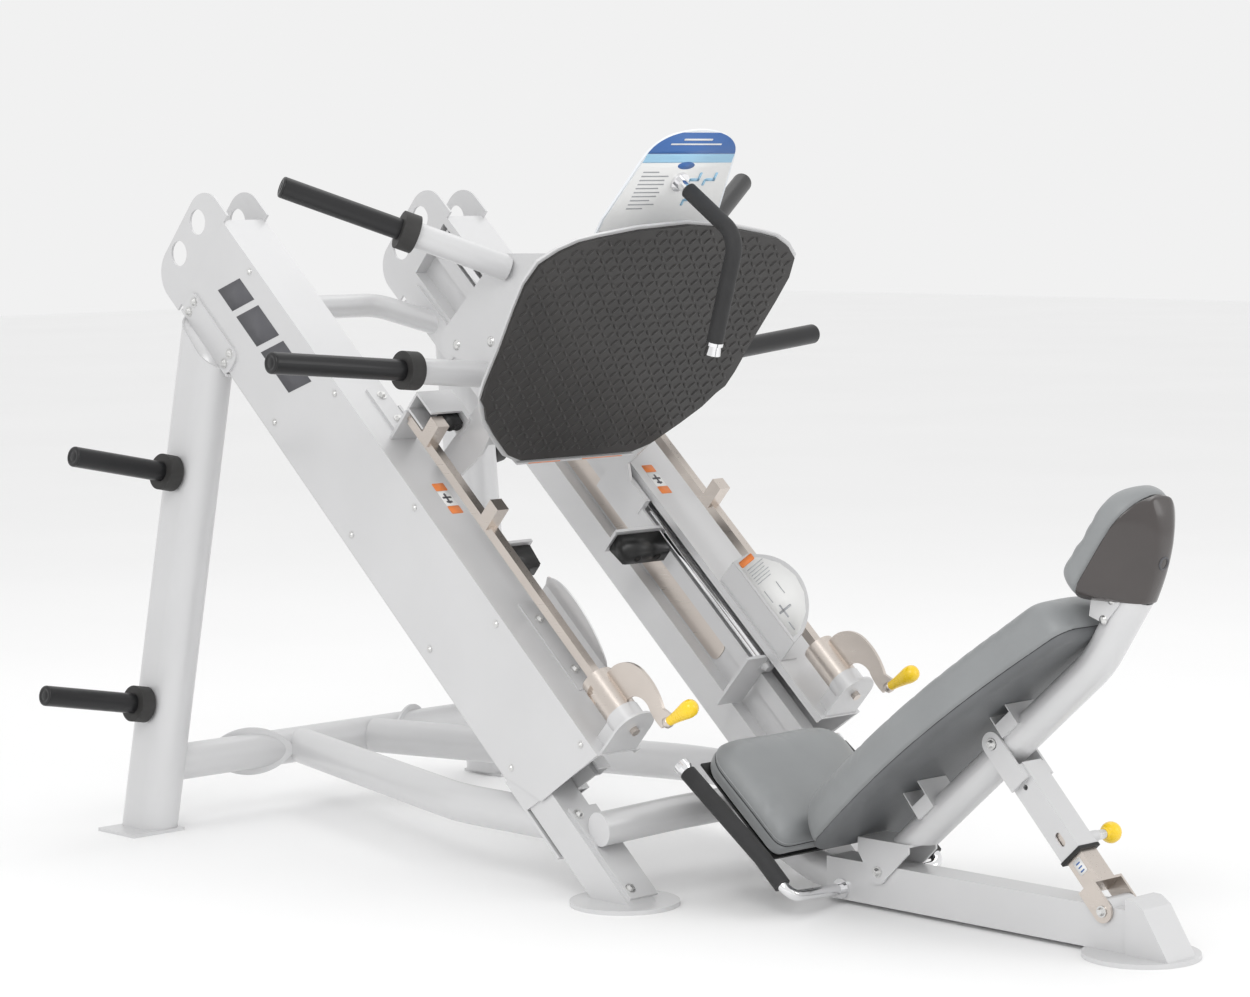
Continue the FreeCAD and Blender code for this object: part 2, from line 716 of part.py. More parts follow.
def prop_outer():
    """The outer tube with its window, pin boss and the two ears at its top."""
    size, run = D.prop_size, SLEEVE_END - SLEEVE_START
    body = box(PROP, (-size / 2, -size / 2, SLEEVE_START), ("prop_size", "prop_size", run))
    hollow = box(PROP, (4 - size / 2, 4 - size / 2, SLEEVE_START - 5),
                 ("prop_size - 8", "prop_size - 8", run + 10))
    window = plate(PROP, -40, [(-8, 170), (0, 162, 8, 170), (8, 186), (0, 194, -8, 186)], 20)
    spy = cylinder(PROP, (0, -40, 312), (0, 1, 0), 6, 20)
    boss = cylinder(PROP, (0, size / 2 - 4, PIN_AT), (0, 1, 0), 12, BOSS_END + 4 - size / 2)
    bore = cylinder(PROP, (0, 10, PIN_AT), (0, 1, 0), 5.1, BOSS_END)
    top = D.prop_reach
    ear = [(-26, 320), (26, 320), (26, top), (0, top + 26, -26, top)]
    hole = ((0, top, D.bolt_radius + 4),)
    ears = [plate(PROP, y, ear, "plate_thickness", hole) for y in (-EAR_Y - 6, EAR_Y)]
    spacers = [box(PROP, (-26, y, 322), (52, EAR_Y - size / 2, 32)) for y in (-EAR_Y, 30)]
    return fuse(cut(fuse(body, boss), hollow, window, spy, bore), *ears, *spacers)


def prop_liner():
    """The plastic bush at the mouth of the outer tube."""
    bush = box(PROP, (-26, -26, SLEEVE_START), (52, 52, 12))
    lip = box(PROP, (-32, -32, SLEEVE_START - 8), (64, 64, 8))
    return cut(fuse(bush, lip), box(PROP, (-24.4, -24.4, 100), (48.8, 48.8, 100)))


def pull_pin():
    """The sprung pin and its sleeve; the ball sits on the end."""
    pin = cylinder(PROP, (0, 24.5, PIN_AT), (0, 1, 0), 5, COLLAR_END - 24.5)
    sleeve = cylinder(PROP, (0, BOSS_END + 0.6, PIN_AT), (0, 1, 0), 10.5, COLLAR_END - BOSS_END)
    return fuse(pin, sleeve)


node("prop_inner", prop_inner())
node("prop_outer", prop_outer())
node("prop_liner", prop_liner())
node("pull_pin", pull_pin())
knob_at = (0, COLLAR_END - 2 + D.ball_radius, PIN_AT)
node("pin_knob", cut(ball(PROP, knob_at, "ball_radius"),
                     cylinder(PROP, (0, 20, PIN_AT), (0, 1, 0), 10.5, COLLAR_END - 19.4)))
node("prop_top_bolt", pivot_bolt(BACK, (PIN_ALONG, 0, PIN_OUT), EAR_Y + 6.6))


# ---------------------------------------------------------------- safety bars

BAR_Y, BAR_OUT = -355, 70       # the safety bar's turning axis in the rail frame
BAR_START, HUB_START, HUB_END = 766, 1586, 1690
JOURNAL = 10                    # radius of the bar's round ends


def safety_bar():
    """The square catch bar with its two stop blocks and its round upper end."""
    half, block = D.bar_size / 2, D.block_size / 2
    bar = box(RAIL, (BAR_START, BAR_Y - half, BAR_OUT - half),
              (HUB_START - BAR_START, "bar_size", "bar_size"))
    stops = [box(RAIL, (s, BAR_Y - block, BAR_OUT), (34, "block_size", "block_height"))
             for s in (821, 1090)]
    end = cylinder(RAIL, (748, BAR_Y, BAR_OUT), (1, 0, 0), JOURNAL, 20)
    return fuse(bar, end, *stops)


def safety_hub():
    """The slotted hub at the bar's lower end, its journal and the crank plate."""
    hub = cylinder(RAIL, (HUB_START, BAR_Y, BAR_OUT), (1, 0, 0), "hub_radius",
                   HUB_END - HUB_START)
    slot = [box(RAIL, (1606, BAR_Y - 60, 58), (16, 32, 18)),
            box(RAIL, (1606, BAR_Y - 60, 40), (34, 40, 20))]
    journal = cylinder(RAIL, (HUB_START, BAR_Y, BAR_OUT), (1, 0, 0), JOURNAL, 162)
    arm = plate(RAIL, BAR_Y - 4, [(1600, 96), (1603, 125), (1632, 172, 1679, 191),
                                  (1735, 188, 1771, 175), (1807, 187), (1797, 140),
                                  (1760, 140, 1737, 146), (1700, 136, 1682, 96)], 8)
    return fuse(cut(hub, *slot), journal, arm)


def safety_knob():
    """The teardrop grip at the end of the crank."""
    lean = Vector(0.33, 0, 0.94)
    base = Vector(1801, BAR_Y, 166)
    stem = cone(RAIL, tuple(base), tuple(lean), 11, 19, 62)
    tip = ball(RAIL, tuple(base + lean.normalize() * 66), 20)
    arm = box(RAIL, (1700, BAR_Y - 4, 100), (110, 8, 90))
    return cut(fuse(stem, tip), arm)


def bar_mounts():
    """The bracket at the bar's upper end, and the boss and end plate at its lower end."""
    foot = box(RAIL, (596, -352, 0), (160, 50, "plate_thickness"))
    flange = box(RAIL, (750, -378, 0), (8, 78, 88))
    boss = cylinder(RAIL, (HUB_END + 0.5, BAR_Y, BAR_OUT), (1, 0, 0), "hub_radius + 2", 42)
    web = box(RAIL, (HUB_END + 0.5, BAR_Y - 32, 0), (42, 64, 60))
    tip = cylinder(RAIL, (1731, BAR_Y, BAR_OUT), (1, 0, 0), 53, 6)
    stand = box(RAIL, (1731, BAR_Y - 53, -4), (6, 106, 74))
    lower = cut(fuse(boss, web, tip, stand), box(RAIL, (1600, -500, -100), (300, 300, 100)))
    bore = cylinder(RAIL, (700, BAR_Y, BAR_OUT), (1, 0, 0), JOURNAL + 0.08, 1100)
    return group(cut(fuse(foot, flange), bore), cut(lower, bore))


def bar_guard():
    """The bent guard beside the bar: a flat foot, a wall and a D-shaped plate over it."""
    start, run, wall = 1294, 264, 3
    foot = box(RAIL, (start, -350, 0), (run, 52, wall))
    side = box(RAIL, (start, -301, 0), (run, wall, 62))
    dee = [(0, 0), (run, 0), (run - 6, 30), (run / 2 + 10, 105, 30, 62), (8, 40)]
    lean = RAIL * Placement(Vector(start, -300, 62), Rotation(X, 32))
    return fuse(foot, side, plate(lean, -wall / 2, dee, wall))


pair("safety_bar", safety_bar())
pair("safety_hub", safety_hub())
pair("safety_knob", safety_knob())
both("bar_mounts", bar_mounts())
both("bar_guards", bar_guard())


# ---------------------------------------------------------------- carriage

SIDE = 268                       # inner face of the carriage's side plates
HORNS = (((779, -SIDE - 4, 1134), (743, -858, 1185), "lower_horn_run"),
         ((863, -SIDE - 4, 1379), (627, -728, 1566), "upper_horn_run"))
PLATE_BACK = 112 - D.mat_thickness - D.press_plate


def horn_parts(horn):
    """Root, direction, length to the collar and run beyond it of a weight horn."""
    root, tip = Vector(*horn[0]), Vector(*horn[1])
    run = getattr(D, horn[2])
    return root, (tip - root).normalize(), (tip - root).Length - run, run


def carriage_side():
    """One side of the carriage: side plate, guide beam, catch, bumper arm and two horns."""
    outline = [(672, 499), (795, 610), (882, 604), (928, 110), (905, 10), (1000, -60),
               (640, -60), (640, -10), (826, -10), (850, 238), (757, 239), (678, 196),
               (644, 219)]
    side = plate(RAIL, -SIDE - 8, outline, 8)
    beam = box(RAIL, (640, -284, -60), (370, 16, 45))
    arm = box(RAIL, (750, -375, 92), (70, 107, 54))
    arm_hollow = box(RAIL, (756, -400, 98), (70, 116, 42))
    arm_root = box(RAIL, (750, -284, 92), (100, 16, 54))
    hanger = box(RAIL, (860, -278, -110), (220, 8, 70))
    foot = box(RAIL, (1072, -285, -102), (8, 150, 66))
    solids = [side, beam, cut(arm, arm_hollow), arm_root, hanger, foot]
    for horn in HORNS:
        root, axis, reach, run = horn_parts(horn)
        solids.append(cylinder(FLOOR, tuple(root), tuple(axis), "horn_tube_radius", reach))
        solids.append(cylinder(FLOOR, tuple(root), tuple(axis), "pin_radius", reach + run - 4))
    return solids


def carriage_frame():
    """Both sides of the carriage, the cross tubes between them and the plate ribs."""
    near = fuse(*carriage_side())
    cross = []
    for along, out in ((700, 300), (860, 120), (800, 540)):
        outer = box(RAIL, (along, -SIDE - 1, out), (50, 2 * SIDE + 2, 60))
        cross.append(cut(outer, box(RAIL, (along + 4, -SIDE - 8, out + 4),
                                    (42, 2 * SIDE + 16, 52))))
    rib = box(PRESS, (PLATE_BACK - 62, -30, 1240), (62, 60, 470))
    behind = box(PRESS, (PLATE_BACK, -600, 1190), (300, 1200, 900))
    return cut(fuse(near, mirrored(near), *cross, rib), behind)


def bearing_blocks():
    """Four linear bearings on the guide rods, on feet on the guide beams."""
    blocks = []
    for along in (662, 912):
        shell = cylinder(RAIL, (along, ROD_Y, ROD_OUT), (1, 0, 0), 19.5, 76)
        foot = box(RAIL, (along + 8, ROD_Y, ROD_OUT - 10), (60, 22, 20))
        bore = cylinder(RAIL, (along - 5, ROD_Y, ROD_OUT), (1, 0, 0), "rod_radius + 0.08", 90)
        block = cut(fuse(shell, foot), bore)
        blocks += [block, mirrored(block)]
    return blocks


def press_outline(inset):
    """Half of the foot plate's outline as (y, t), widest near its middle, then its mirror."""
    half = [(185, 1212), (235, 1232), (303, 1290), (350, 1336), (375, 1375), (395, 1410),
            (403, 1453), (409, 1551), (421, 1662), (425, 1730), (410, 1786), (368, 1820),
            (320, 1843), (266, 1855), (155, 1874), (0, 1886)]
    right = [(y - inset, t + inset * (1 if t < 1400 else -1)) for y, t in half[:-1]]
    top = (0, half[-1][1] - inset)
    return right + [top] + [(-y, t) for y, t in reversed(right)]


def heel_lip():
    """The shelf along the foot plate's lower edge."""
    return box(PRESS, (40, -185, 1207), (72, 370, 5))


def placard():
    """The instruction plate above the foot plate, on a shelf behind it."""
    outline = [(-181, 1724), (181, 1724), (181, 1840), (145, 2000), (118, 2046, 70, 2070),
               (0, 2080, -70, 2070), (-118, 2046, -145, 2000), (-181, 1840)]
    sheet_plate = plate(PRESS_FACE, -25, outline, 5)
    shelf = box(PRESS, (22, -150, 1724), (PLATE_BACK - 22, 300, 5))
    return fuse(sheet_plate, shelf)


GRIP_PATH = [(28, 0, 1942), (247, 0, 1946), (324, 0, 1712)]   # in the press frame


def centre_handle():
    """A chrome bar from the placard, bent down in front of the knees, with its cap."""
    bar = swept(PRESS, GRIP_PATH, 62, "handle_radius + 1.5")
    flange = cylinder(PRESS, (25, 0, GRIP_PATH[0][2]), (1, 0, 0), 24, 8)
    tip, knee = Vector(*GRIP_PATH[2]), Vector(*GRIP_PATH[1])
    run = (tip - knee).normalize()
    cap = fuse(cylinder(PRESS, tuple(tip), tuple(run), 20, 8),
               cone(PRESS, tuple(tip + run * 8), tuple(run), 16, 19, 22))
    return fuse(bar, flange, cap)


def centre_grip():
    root, knee = Vector(*GRIP_PATH[0]), Vector(*GRIP_PATH[1])
    start = root + (knee - root).normalize() * 36
    points = [tuple(start), GRIP_PATH[1], GRIP_PATH[2]]
    return cut(swept(PRESS, points, 62, "grip_radius"),
               swept(PRESS, points, 62, "handle_radius + 1.8"))


def on_horns(radius, start, stop):
    """Rings round the four weight horns, from the collar's root outwards."""
    rings = []
    for horn in HORNS:
        root, axis, reach, run = horn_parts(horn)
        last = run + stop if stop <= 0 else stop
        at = root + axis * (reach + start)
        ring = cut(cylinder(FLOOR, tuple(at), tuple(axis), radius, last - start),
                   cylinder(FLOOR, tuple(at - axis * 5), tuple(axis), "pin_radius", last + 10))
        rings += [ring, mirrored(ring)]
    return rings


def bumper(at, size):
    """A tapered rubber buffer on the carriage with two bolt wells in its face."""
    block = box(RAIL, at, size)
    wells = [cylinder(RAIL, (at[0] + size[0] - 10, at[1] + size[1] * part, at[2] + size[2] / 2),
                      (1, 0, 0), 9, 20) for part in (0.28, 0.72)]
    return cut(block, *wells)


upper = bumper((800, -334, 104), (48, 48, 34))
lower = bumper((1080, -283, -96), (62, 144, 54))
node("carriage_frame", carriage_frame())
node("bearing_blocks", group(*bearing_blocks()))
node("foot_plate", plate(PRESS_FACE, -PLATE_BACK - D.press_plate, press_outline(0),
                         "press_plate"))
node("foot_mat", plate(PRESS_FACE, -112, press_outline(7), "mat_thickness"))
node("heel_lip", heel_lip())
node("placard", placard())
node("centre_handle", centre_handle())
node("centre_grip", centre_grip())
node("weight_collars", group(*on_horns("collar_radius", 0, D.collar_length)))
node("weight_sleeves", group(*on_horns("sleeve_radius", D.collar_length, 0)))
node("upper_bumpers", group(upper, mirrored(upper)))
node("lower_bumpers", group(lower, mirrored(lower)))


# ---------------------------------------------------------------- fasteners

def frame_bolts():
    """Visible bolt heads of the fixed frame, near side and mirrored."""
    heads = []
    for along in (620, 700):
        heads.append(bolt(RAIL, (along, -322, 6), (0, 0, 1)))
    for along in (1345, 1499):
        heads.append(bolt(RAIL, (along, -320, 3), (0, 0, 1)))
    for along in (1762, 1978):
        heads.append(bolt(RAIL, (along, -386, -176), (0, 0, 1)))
    for along in (44, 228):
        for out in (-222, -254):
            heads.append(bolt(RAIL, (along, -428, out), (0, -1, 0)))
    both = [copy for head in heads for copy in (head, mirrored(head))]
    return group(*both)


node("frame_bolts", frame_bolts())


# ---------------------------------------------------------------- checks and export

doc.recompute()
for thing in doc.Objects:
    if {"Invalid", "Error"} & set(thing.State):
        raise RuntimeError(f"{thing.Name} ({thing.Label}) did not build: {thing.State}")
os.makedirs("parts", exist_ok=True)
for name, thing in NODES.items():
    shape = thing.Shape
    if shape.isNull() or not shape.isValid() or not shape.Solids:
        raise RuntimeError(f"{name} has no valid solid")
    shape.exportStep(f"parts/{name}.step")
    print(f"{name}: {len(shape.Solids)} solids, {shape.Volume / 1000:.0f} cm3")
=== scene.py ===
import json
import math
import bmesh
import bpy
from mathutils import Matrix, Vector
from mathutils.bvhtree import BVHTree


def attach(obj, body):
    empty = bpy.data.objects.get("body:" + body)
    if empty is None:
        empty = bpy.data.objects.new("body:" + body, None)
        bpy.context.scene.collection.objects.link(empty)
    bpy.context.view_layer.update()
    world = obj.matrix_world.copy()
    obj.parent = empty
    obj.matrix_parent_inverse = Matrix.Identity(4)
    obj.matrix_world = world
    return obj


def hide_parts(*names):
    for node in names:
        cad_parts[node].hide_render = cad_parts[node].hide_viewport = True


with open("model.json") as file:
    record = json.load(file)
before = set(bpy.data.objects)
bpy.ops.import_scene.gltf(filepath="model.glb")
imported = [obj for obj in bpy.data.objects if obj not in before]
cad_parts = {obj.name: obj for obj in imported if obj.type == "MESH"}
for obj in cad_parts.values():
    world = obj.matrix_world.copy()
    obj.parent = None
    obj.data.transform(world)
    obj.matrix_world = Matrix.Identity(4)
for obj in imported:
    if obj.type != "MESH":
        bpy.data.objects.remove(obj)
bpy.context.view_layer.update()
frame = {"nodes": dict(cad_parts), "record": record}
NODES = frame["nodes"]
MIDDLE = 1.1607          # metres from the rails' top corner to the machine's middle, along X


# ---------------------------------------------------------------- frames

def tilted(degrees, x, z):
    """A frame turned about Y, with its origin given from the rails' top corner."""
    return Matrix.Translation((x - MIDDLE, 0, z)) @ Matrix.Rotation(math.radians(degrees), 4, "Y")


RAIL = tilted(41.5, 0, 1.4835)
PRESS = tilted(35.2, 0, 0)
SEAT = tilted(40, 1.425, 0.350)
PAD = tilted(-38, 1.674, 0.138)
HEAD = tilted(-56, 2.3453, 0.7223)
PROP = tilted(-43.5, 2.394, 0.090)
STILL = Matrix.Identity(4)
MIRROR = Matrix.Scale(-1, 4, (0, 1, 0))
SIDES = (("left", STILL), ("right", MIRROR))


# ---------------------------------------------------------------- materials

def shader(name, roughness, metallic=0.0, coat=0.0, sheen=0.0):
    """A new node material, its Principled shader, and scaled object coordinates."""
    mat = bpy.data.materials.new(name)
    mat.use_nodes = True
    nodes, links = mat.node_tree.nodes, mat.node_tree.links
    bsdf = nodes["Principled BSDF"]
    bsdf.inputs["Roughness"].default_value = roughness
    bsdf.inputs["Metallic"].default_value = metallic
    bsdf.inputs["Coat Weight"].default_value = coat
    bsdf.inputs["Coat Roughness"].default_value = 0.12
    bsdf.inputs["Sheen Weight"].default_value = sheen
    coords = nodes.new("ShaderNodeTexCoord")
    return mat, nodes, links, bsdf, coords.outputs["Object"]


def texture(nodes, links, source, kind, scale, stretch=(1, 1, 1), tilt=0.0):
    """A noise or cell texture in object space; returns its value output."""
    mapping = nodes.new("ShaderNodeMapping")
    mapping.inputs["Scale"].default_value = stretch
    mapping.inputs["Rotation"].default_value = (0, math.radians(tilt), 0)
    links.new(source, mapping.inputs["Vector"])
    tex = nodes.new("ShaderNodeTexVoronoi" if kind == "cells" else "ShaderNodeTexNoise")
    tex.inputs["Scale"].default_value = scale
    if kind == "noise":
        tex.inputs["Detail"].default_value = 4
    links.new(mapping.outputs["Vector"], tex.inputs["Vector"])
    return tex.outputs["Distance" if kind == "cells" else "Fac"]


def ramp(nodes, links, value, stops):
    """A colour between two stops, each a position and a colour, by a value."""
    node = nodes.new("ShaderNodeValToRGB")
    node.color_ramp.elements[0].position = stops[0][0]
    node.color_ramp.elements[0].color = (*stops[0][1], 1)
    node.color_ramp.elements[1].position = stops[1][0]
    node.color_ramp.elements[1].color = (*stops[1][1], 1)
    links.new(value, node.inputs["Fac"])
    return node.outputs["Color"]


def between(nodes, links, value, low, high):
    """A value from 0 to 1 mapped to a range."""
    node = nodes.new("ShaderNodeMapRange")
    node.inputs["To Min"].default_value = low
    node.inputs["To Max"].default_value = high
    links.new(value, node.inputs["Value"])
    return node.outputs["Result"]


def add_bump(nodes, links, bsdf, value, distance):
    """Relief of a given depth, in metres, on a shader."""
    node = nodes.new("ShaderNodeBump")
    node.inputs["Distance"].default_value = distance
    node.inputs["Strength"].default_value = 1.0
    links.new(value, node.inputs["Height"])
    links.new(node.outputs["Normal"], bsdf.inputs["Normal"])


def shade(colour, factor):
    """A lighter or darker colour."""
    return tuple(min(1.0, channel * factor) for channel in colour)


def surface(name, colour, roughness, metallic=0.0, coat=0.0, sheen=0.0, *, vary, grain, depth,
            blotch=5, kind="noise", stretch=(1, 1, 1), tilt=0.0, rough_spread=0.06):
    """A finish with broad colour variation, uneven roughness and a fine grain in relief."""
    mat, nodes, links, bsdf, place = shader(name, roughness, metallic, coat, sheen)
    broad = texture(nodes, links, place, "noise", blotch)
    stops = [(0.3, shade(colour, 1 - vary)), (0.7, shade(colour, 1 + vary))]
    tint = ramp(nodes, links, broad, stops)
    links.new(tint, bsdf.inputs["Base Color"])
    fine = texture(nodes, links, place, kind, grain, stretch, tilt)
    uneven = between(nodes, links, fine, roughness - rough_spread, roughness + rough_spread)
    links.new(uneven, bsdf.inputs["Roughness"])
    add_bump(nodes, links, bsdf, fine, depth)
    return mat


def make_materials():
    """Every finish of the machine, by the name of its material slot or print colour."""
    return {
        "frame_paint": surface("silver_paint", (0.66, 0.66, 0.665), 0.36, 0.2, coat=0.3,
                               vary=0.02, grain=900, depth=0.00002),
        "placard_face": surface("placard_print", (0.82, 0.85, 0.88), 0.4, vary=0.02,
                                grain=700, depth=0.00001),
        "nickel": surface("warm_nickel", (0.66, 0.60, 0.55), 0.3, 1.0, vary=0.06,
                          grain=260, depth=0.000006, rough_spread=0.08,
                          stretch=(0.03, 1, 1), tilt=41.5),
        "zinc": surface("zinc_plate", (0.70, 0.70, 0.69), 0.28, 1.0, vary=0.12, blotch=60,
                        grain=500, depth=0.00003),
        "chrome": surface("chrome_plate", (0.86, 0.86, 0.87), 0.10, 1.0, vary=0.02,
                          grain=120, depth=0.0000015, rough_spread=0.03),
        "sleeve_black": surface("sleeve_finish", (0.008, 0.008, 0.009), 0.36, coat=0.05,
                                vary=0.2, grain=420, depth=0.00004, rough_spread=0.1),
        "collar_rubber": surface("collar_rubber", (0.030, 0.029, 0.028), 0.6, vary=0.12,
                                 blotch=30, grain=800, depth=0.00008),
        "grip_foam": surface("grip_foam", (0.026, 0.026, 0.027), 0.7, sheen=0.05, vary=0.1,
                             blotch=20, grain=1100, depth=0.00012, kind="cells"),
        "upholstery": surface("grey_vinyl", (0.27, 0.28, 0.285), 0.42, sheen=0.1, vary=0.05,
                              blotch=7, grain=650, depth=0.00007, kind="cells"),
        "under_vinyl": surface("dark_vinyl", (0.13, 0.135, 0.14), 0.5, vary=0.08,
                               blotch=7, grain=650, depth=0.00007, kind="cells"),
        "board_black": surface("black_board", (0.012, 0.012, 0.012), 0.55, vary=0.15,
                               grain=500, depth=0.00006),
        "head_gloss": surface("head_moulding", (0.052, 0.044, 0.042), 0.22, coat=0.5,
                              vary=0.08, blotch=9, grain=90, depth=0.00001, rough_spread=0.03),
        "mat_rubber": surface("tread_rubber", (0.026, 0.024, 0.023), 0.42, vary=0.18, blotch=8,
                              grain=500, depth=0.00008, rough_spread=0.1),
        "bumper_rubber": surface("buffer_rubber", (0.010, 0.010, 0.010), 0.36, vary=0.2,
                                 blotch=20, grain=600, depth=0.00004),
        "knob_yellow": surface("yellow_plastic", (1.0, 0.66, 0.015), 0.28, coat=0.4, vary=0.04,
                               blotch=20, grain=200, depth=0.00001),
        "welt": surface("welt_cord", (0.035, 0.036, 0.038), 0.5, vary=0.1, grain=900,
                        depth=0.00004),
        "orange": surface("orange_print", (0.86, 0.25, 0.06), 0.45, vary=0.05, grain=900,
                          depth=0.00001),
        "blue": surface("blue_print", (0.05, 0.15, 0.42), 0.42, vary=0.06, grain=900,
                        depth=0.00001),
        "pale_blue": surface("pale_blue_print", (0.36, 0.62, 0.82), 0.42, vary=0.05,
                             grain=900, depth=0.00001),
        "white": surface("white_print", (0.86, 0.86, 0.85), 0.42, vary=0.02, grain=900,
                         depth=0.00001),
        "ink": surface("grey_ink", (0.10, 0.10, 0.11), 0.5, vary=0.1, grain=900,
                       depth=0.00001),
        "line": surface("line_ink", (0.42, 0.43, 0.45), 0.5, vary=0.1, grain=900,
                        depth=0.00001),
    }


MATS = make_materials()
SLOTS = {row["node"]: row["material_slot"] for row in frame["record"]["subparts"]}
for node_name, node_object in NODES.items():
    node_object.data.materials.clear()
    node_object.data.materials.append(MATS[SLOTS[node_name]])


# ---------------------------------------------------------------- mesh helpers

THINNEST = 0.0001                       # a lathe's radius at a pole, in metres
DOME_RIM, DOME_SINK = 0.0008, 0.0004    # a screw head's upright edge, and its depth in a plate
DOME_SPREAD = 1.15                      # its flange over its head


def new_piece(name, mesh, place, material, body):
    """A piece whose mesh is drawn in a frame, moved to its place and set on a body."""
    mesh.transform(place)
    if place.determinant() < 0:
        mesh.flip_normals()
    piece = bpy.data.objects.new(name, mesh)
    bpy.context.scene.collection.objects.link(piece)
    mesh.materials.clear()
    mesh.materials.append(MATS[material])
    mesh.polygons.foreach_set("use_smooth", [True] * len(mesh.polygons))
    mesh.update()
    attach(piece, body)
    return piece


def mesh_of(bm):
    """The finished mesh of a bmesh, with its faces turned outwards."""
    bmesh.ops.recalc_face_normals(bm, faces=bm.faces)
    mesh = bpy.data.meshes.new("mesh")
    bm.to_mesh(mesh)
    bm.free()
    return mesh


def bridge(bm, loops, closed=True):
    """Quads between neighbouring loops of vertices."""
    for low, high in zip(loops, loops[1:]):
        count = len(low)
        for i in range(count if closed else count - 1):
            k = (i + 1) % count
            bm.faces.new((low[i], low[k], high[k], high[i]))


def lathe(profile, sides=40):
    """A solid of revolution about Z through (radius, height) points."""
    bm = bmesh.new()
    loops = []
    for radius, height in profile:
        radius = max(radius, THINNEST)
        loops.append([bm.verts.new((radius * math.cos(a), radius * math.sin(a), height))
                      for a in (2 * math.pi * i / sides for i in range(sides))])
    bridge(bm, loops)
    bm.faces.new(loops[0])
    bm.faces.new(loops[-1])
    return mesh_of(bm)


def joined(meshes):
    """One mesh made of several."""
    bm = bmesh.new()
    for mesh in meshes:
        bm.from_mesh(mesh)
    return mesh_of(bm)


def slab(outline, low, high):
    """A flat piece with an outline in X-Y, from low to high in Z."""
    bm = bmesh.new()
    base = bm.faces.new([bm.verts.new((x, y, low)) for x, y in outline])
    grown = bmesh.ops.extrude_face_region(bm, geom=[base])
    top = [v for v in grown["geom"] if isinstance(v, bmesh.types.BMVert)]
    bmesh.ops.translate(bm, verts=top, vec=(0, 0, high - low))
    return mesh_of(bm)


def block(x0, x1, y0, y1, z0, z1, edge):
    """A box between two corners with rounded edges."""
    bm = bmesh.new()
    bmesh.ops.create_cube(bm, size=1)
    for v in bm.verts:
        v.co = Vector((x1 if v.co.x > 0 else x0, y1 if v.co.y > 0 else y0,
                       z1 if v.co.z > 0 else z0))
    bmesh.ops.bevel(bm, geom=bm.edges[:], offset=edge, segments=3, affect="EDGES")
    return mesh_of(bm)


def cord_tube(points, radius, sides=8):
    """A closed round bead through a loop of points."""
    bm = bmesh.new()
    loops = []
    count = len(points)
    for i, point in enumerate(points):
        run = (points[(i + 1) % count] - points[i - 1]).normalized()
        side = run.cross(Vector((0, 0, 1))).normalized()
        up = side.cross(run)
        loops.append([bm.verts.new(point + radius * (side * math.cos(a) + up * math.sin(a)))
                      for a in (2 * math.pi * k / sides for k in range(sides))])
    bridge(bm, loops + [loops[0]])
    return mesh_of(bm)


def aligned(origin, axis):
    """A frame with Z along an axis."""
    return Matrix.Translation(origin) @ Vector(axis).to_track_quat("Z", "Y").to_matrix().to_4x4()


def dome(place, radius, height):
    """The rounded head of a screw, standing on a frame's X-Y plane."""
    rise = [(radius * DOME_SPREAD, -DOME_SINK), (radius * DOME_SPREAD, DOME_RIM)]
    rise += [(radius * math.cos(a), DOME_RIM + (height - DOME_RIM) * math.sin(a))
             for a in (math.radians(15 * i) for i in range(7))]
    mesh = lathe(rise, 24)
    mesh.transform(place)
    return mesh


# ---------------------------------------------------------------- padded pieces

PAD_STEPS = (70, 36)                    # rows along a pad and columns across it
PAD_CROWN = 0.10                        # how much lower a pad is towards its sides
PAD_EDGE = 0.0005                       # half the thickness of its outer edge
PAD_MERGE = 0.0002                      # points closer than this become one
STUFFING, CLOTH_FRAMES = 4.0, 20        # pressure in a cover and frames it is blown up for
SEAM_WIDTH, SEAM_DEPTH = 0.004, 0.003
SEAM_POINTS = 220
BACK_LENGTH, BACK_BOW = 0.862, 0.010
HEAD_LENGTH, HEAD_HALF = 0.268, 0.105
SHELL_RINGS, RING_POINTS = 20, 17
SHELL_BACK = 0.044                      # half-width of the head moulding's rounded back
SHELL_WALL = 0.003
HOLE_HEIGHT = 0.160                     # of the ring in the moulding's back


def quarter(distance, radius, power=2.3):
    """Height from 0 at an edge to 1 at `radius` inside it, along a rounded shoulder."""
    if distance >= radius:
        return 1.0
    return max(0.0, 1 - (1 - max(distance, 0) / radius) ** power) ** (1 / power)


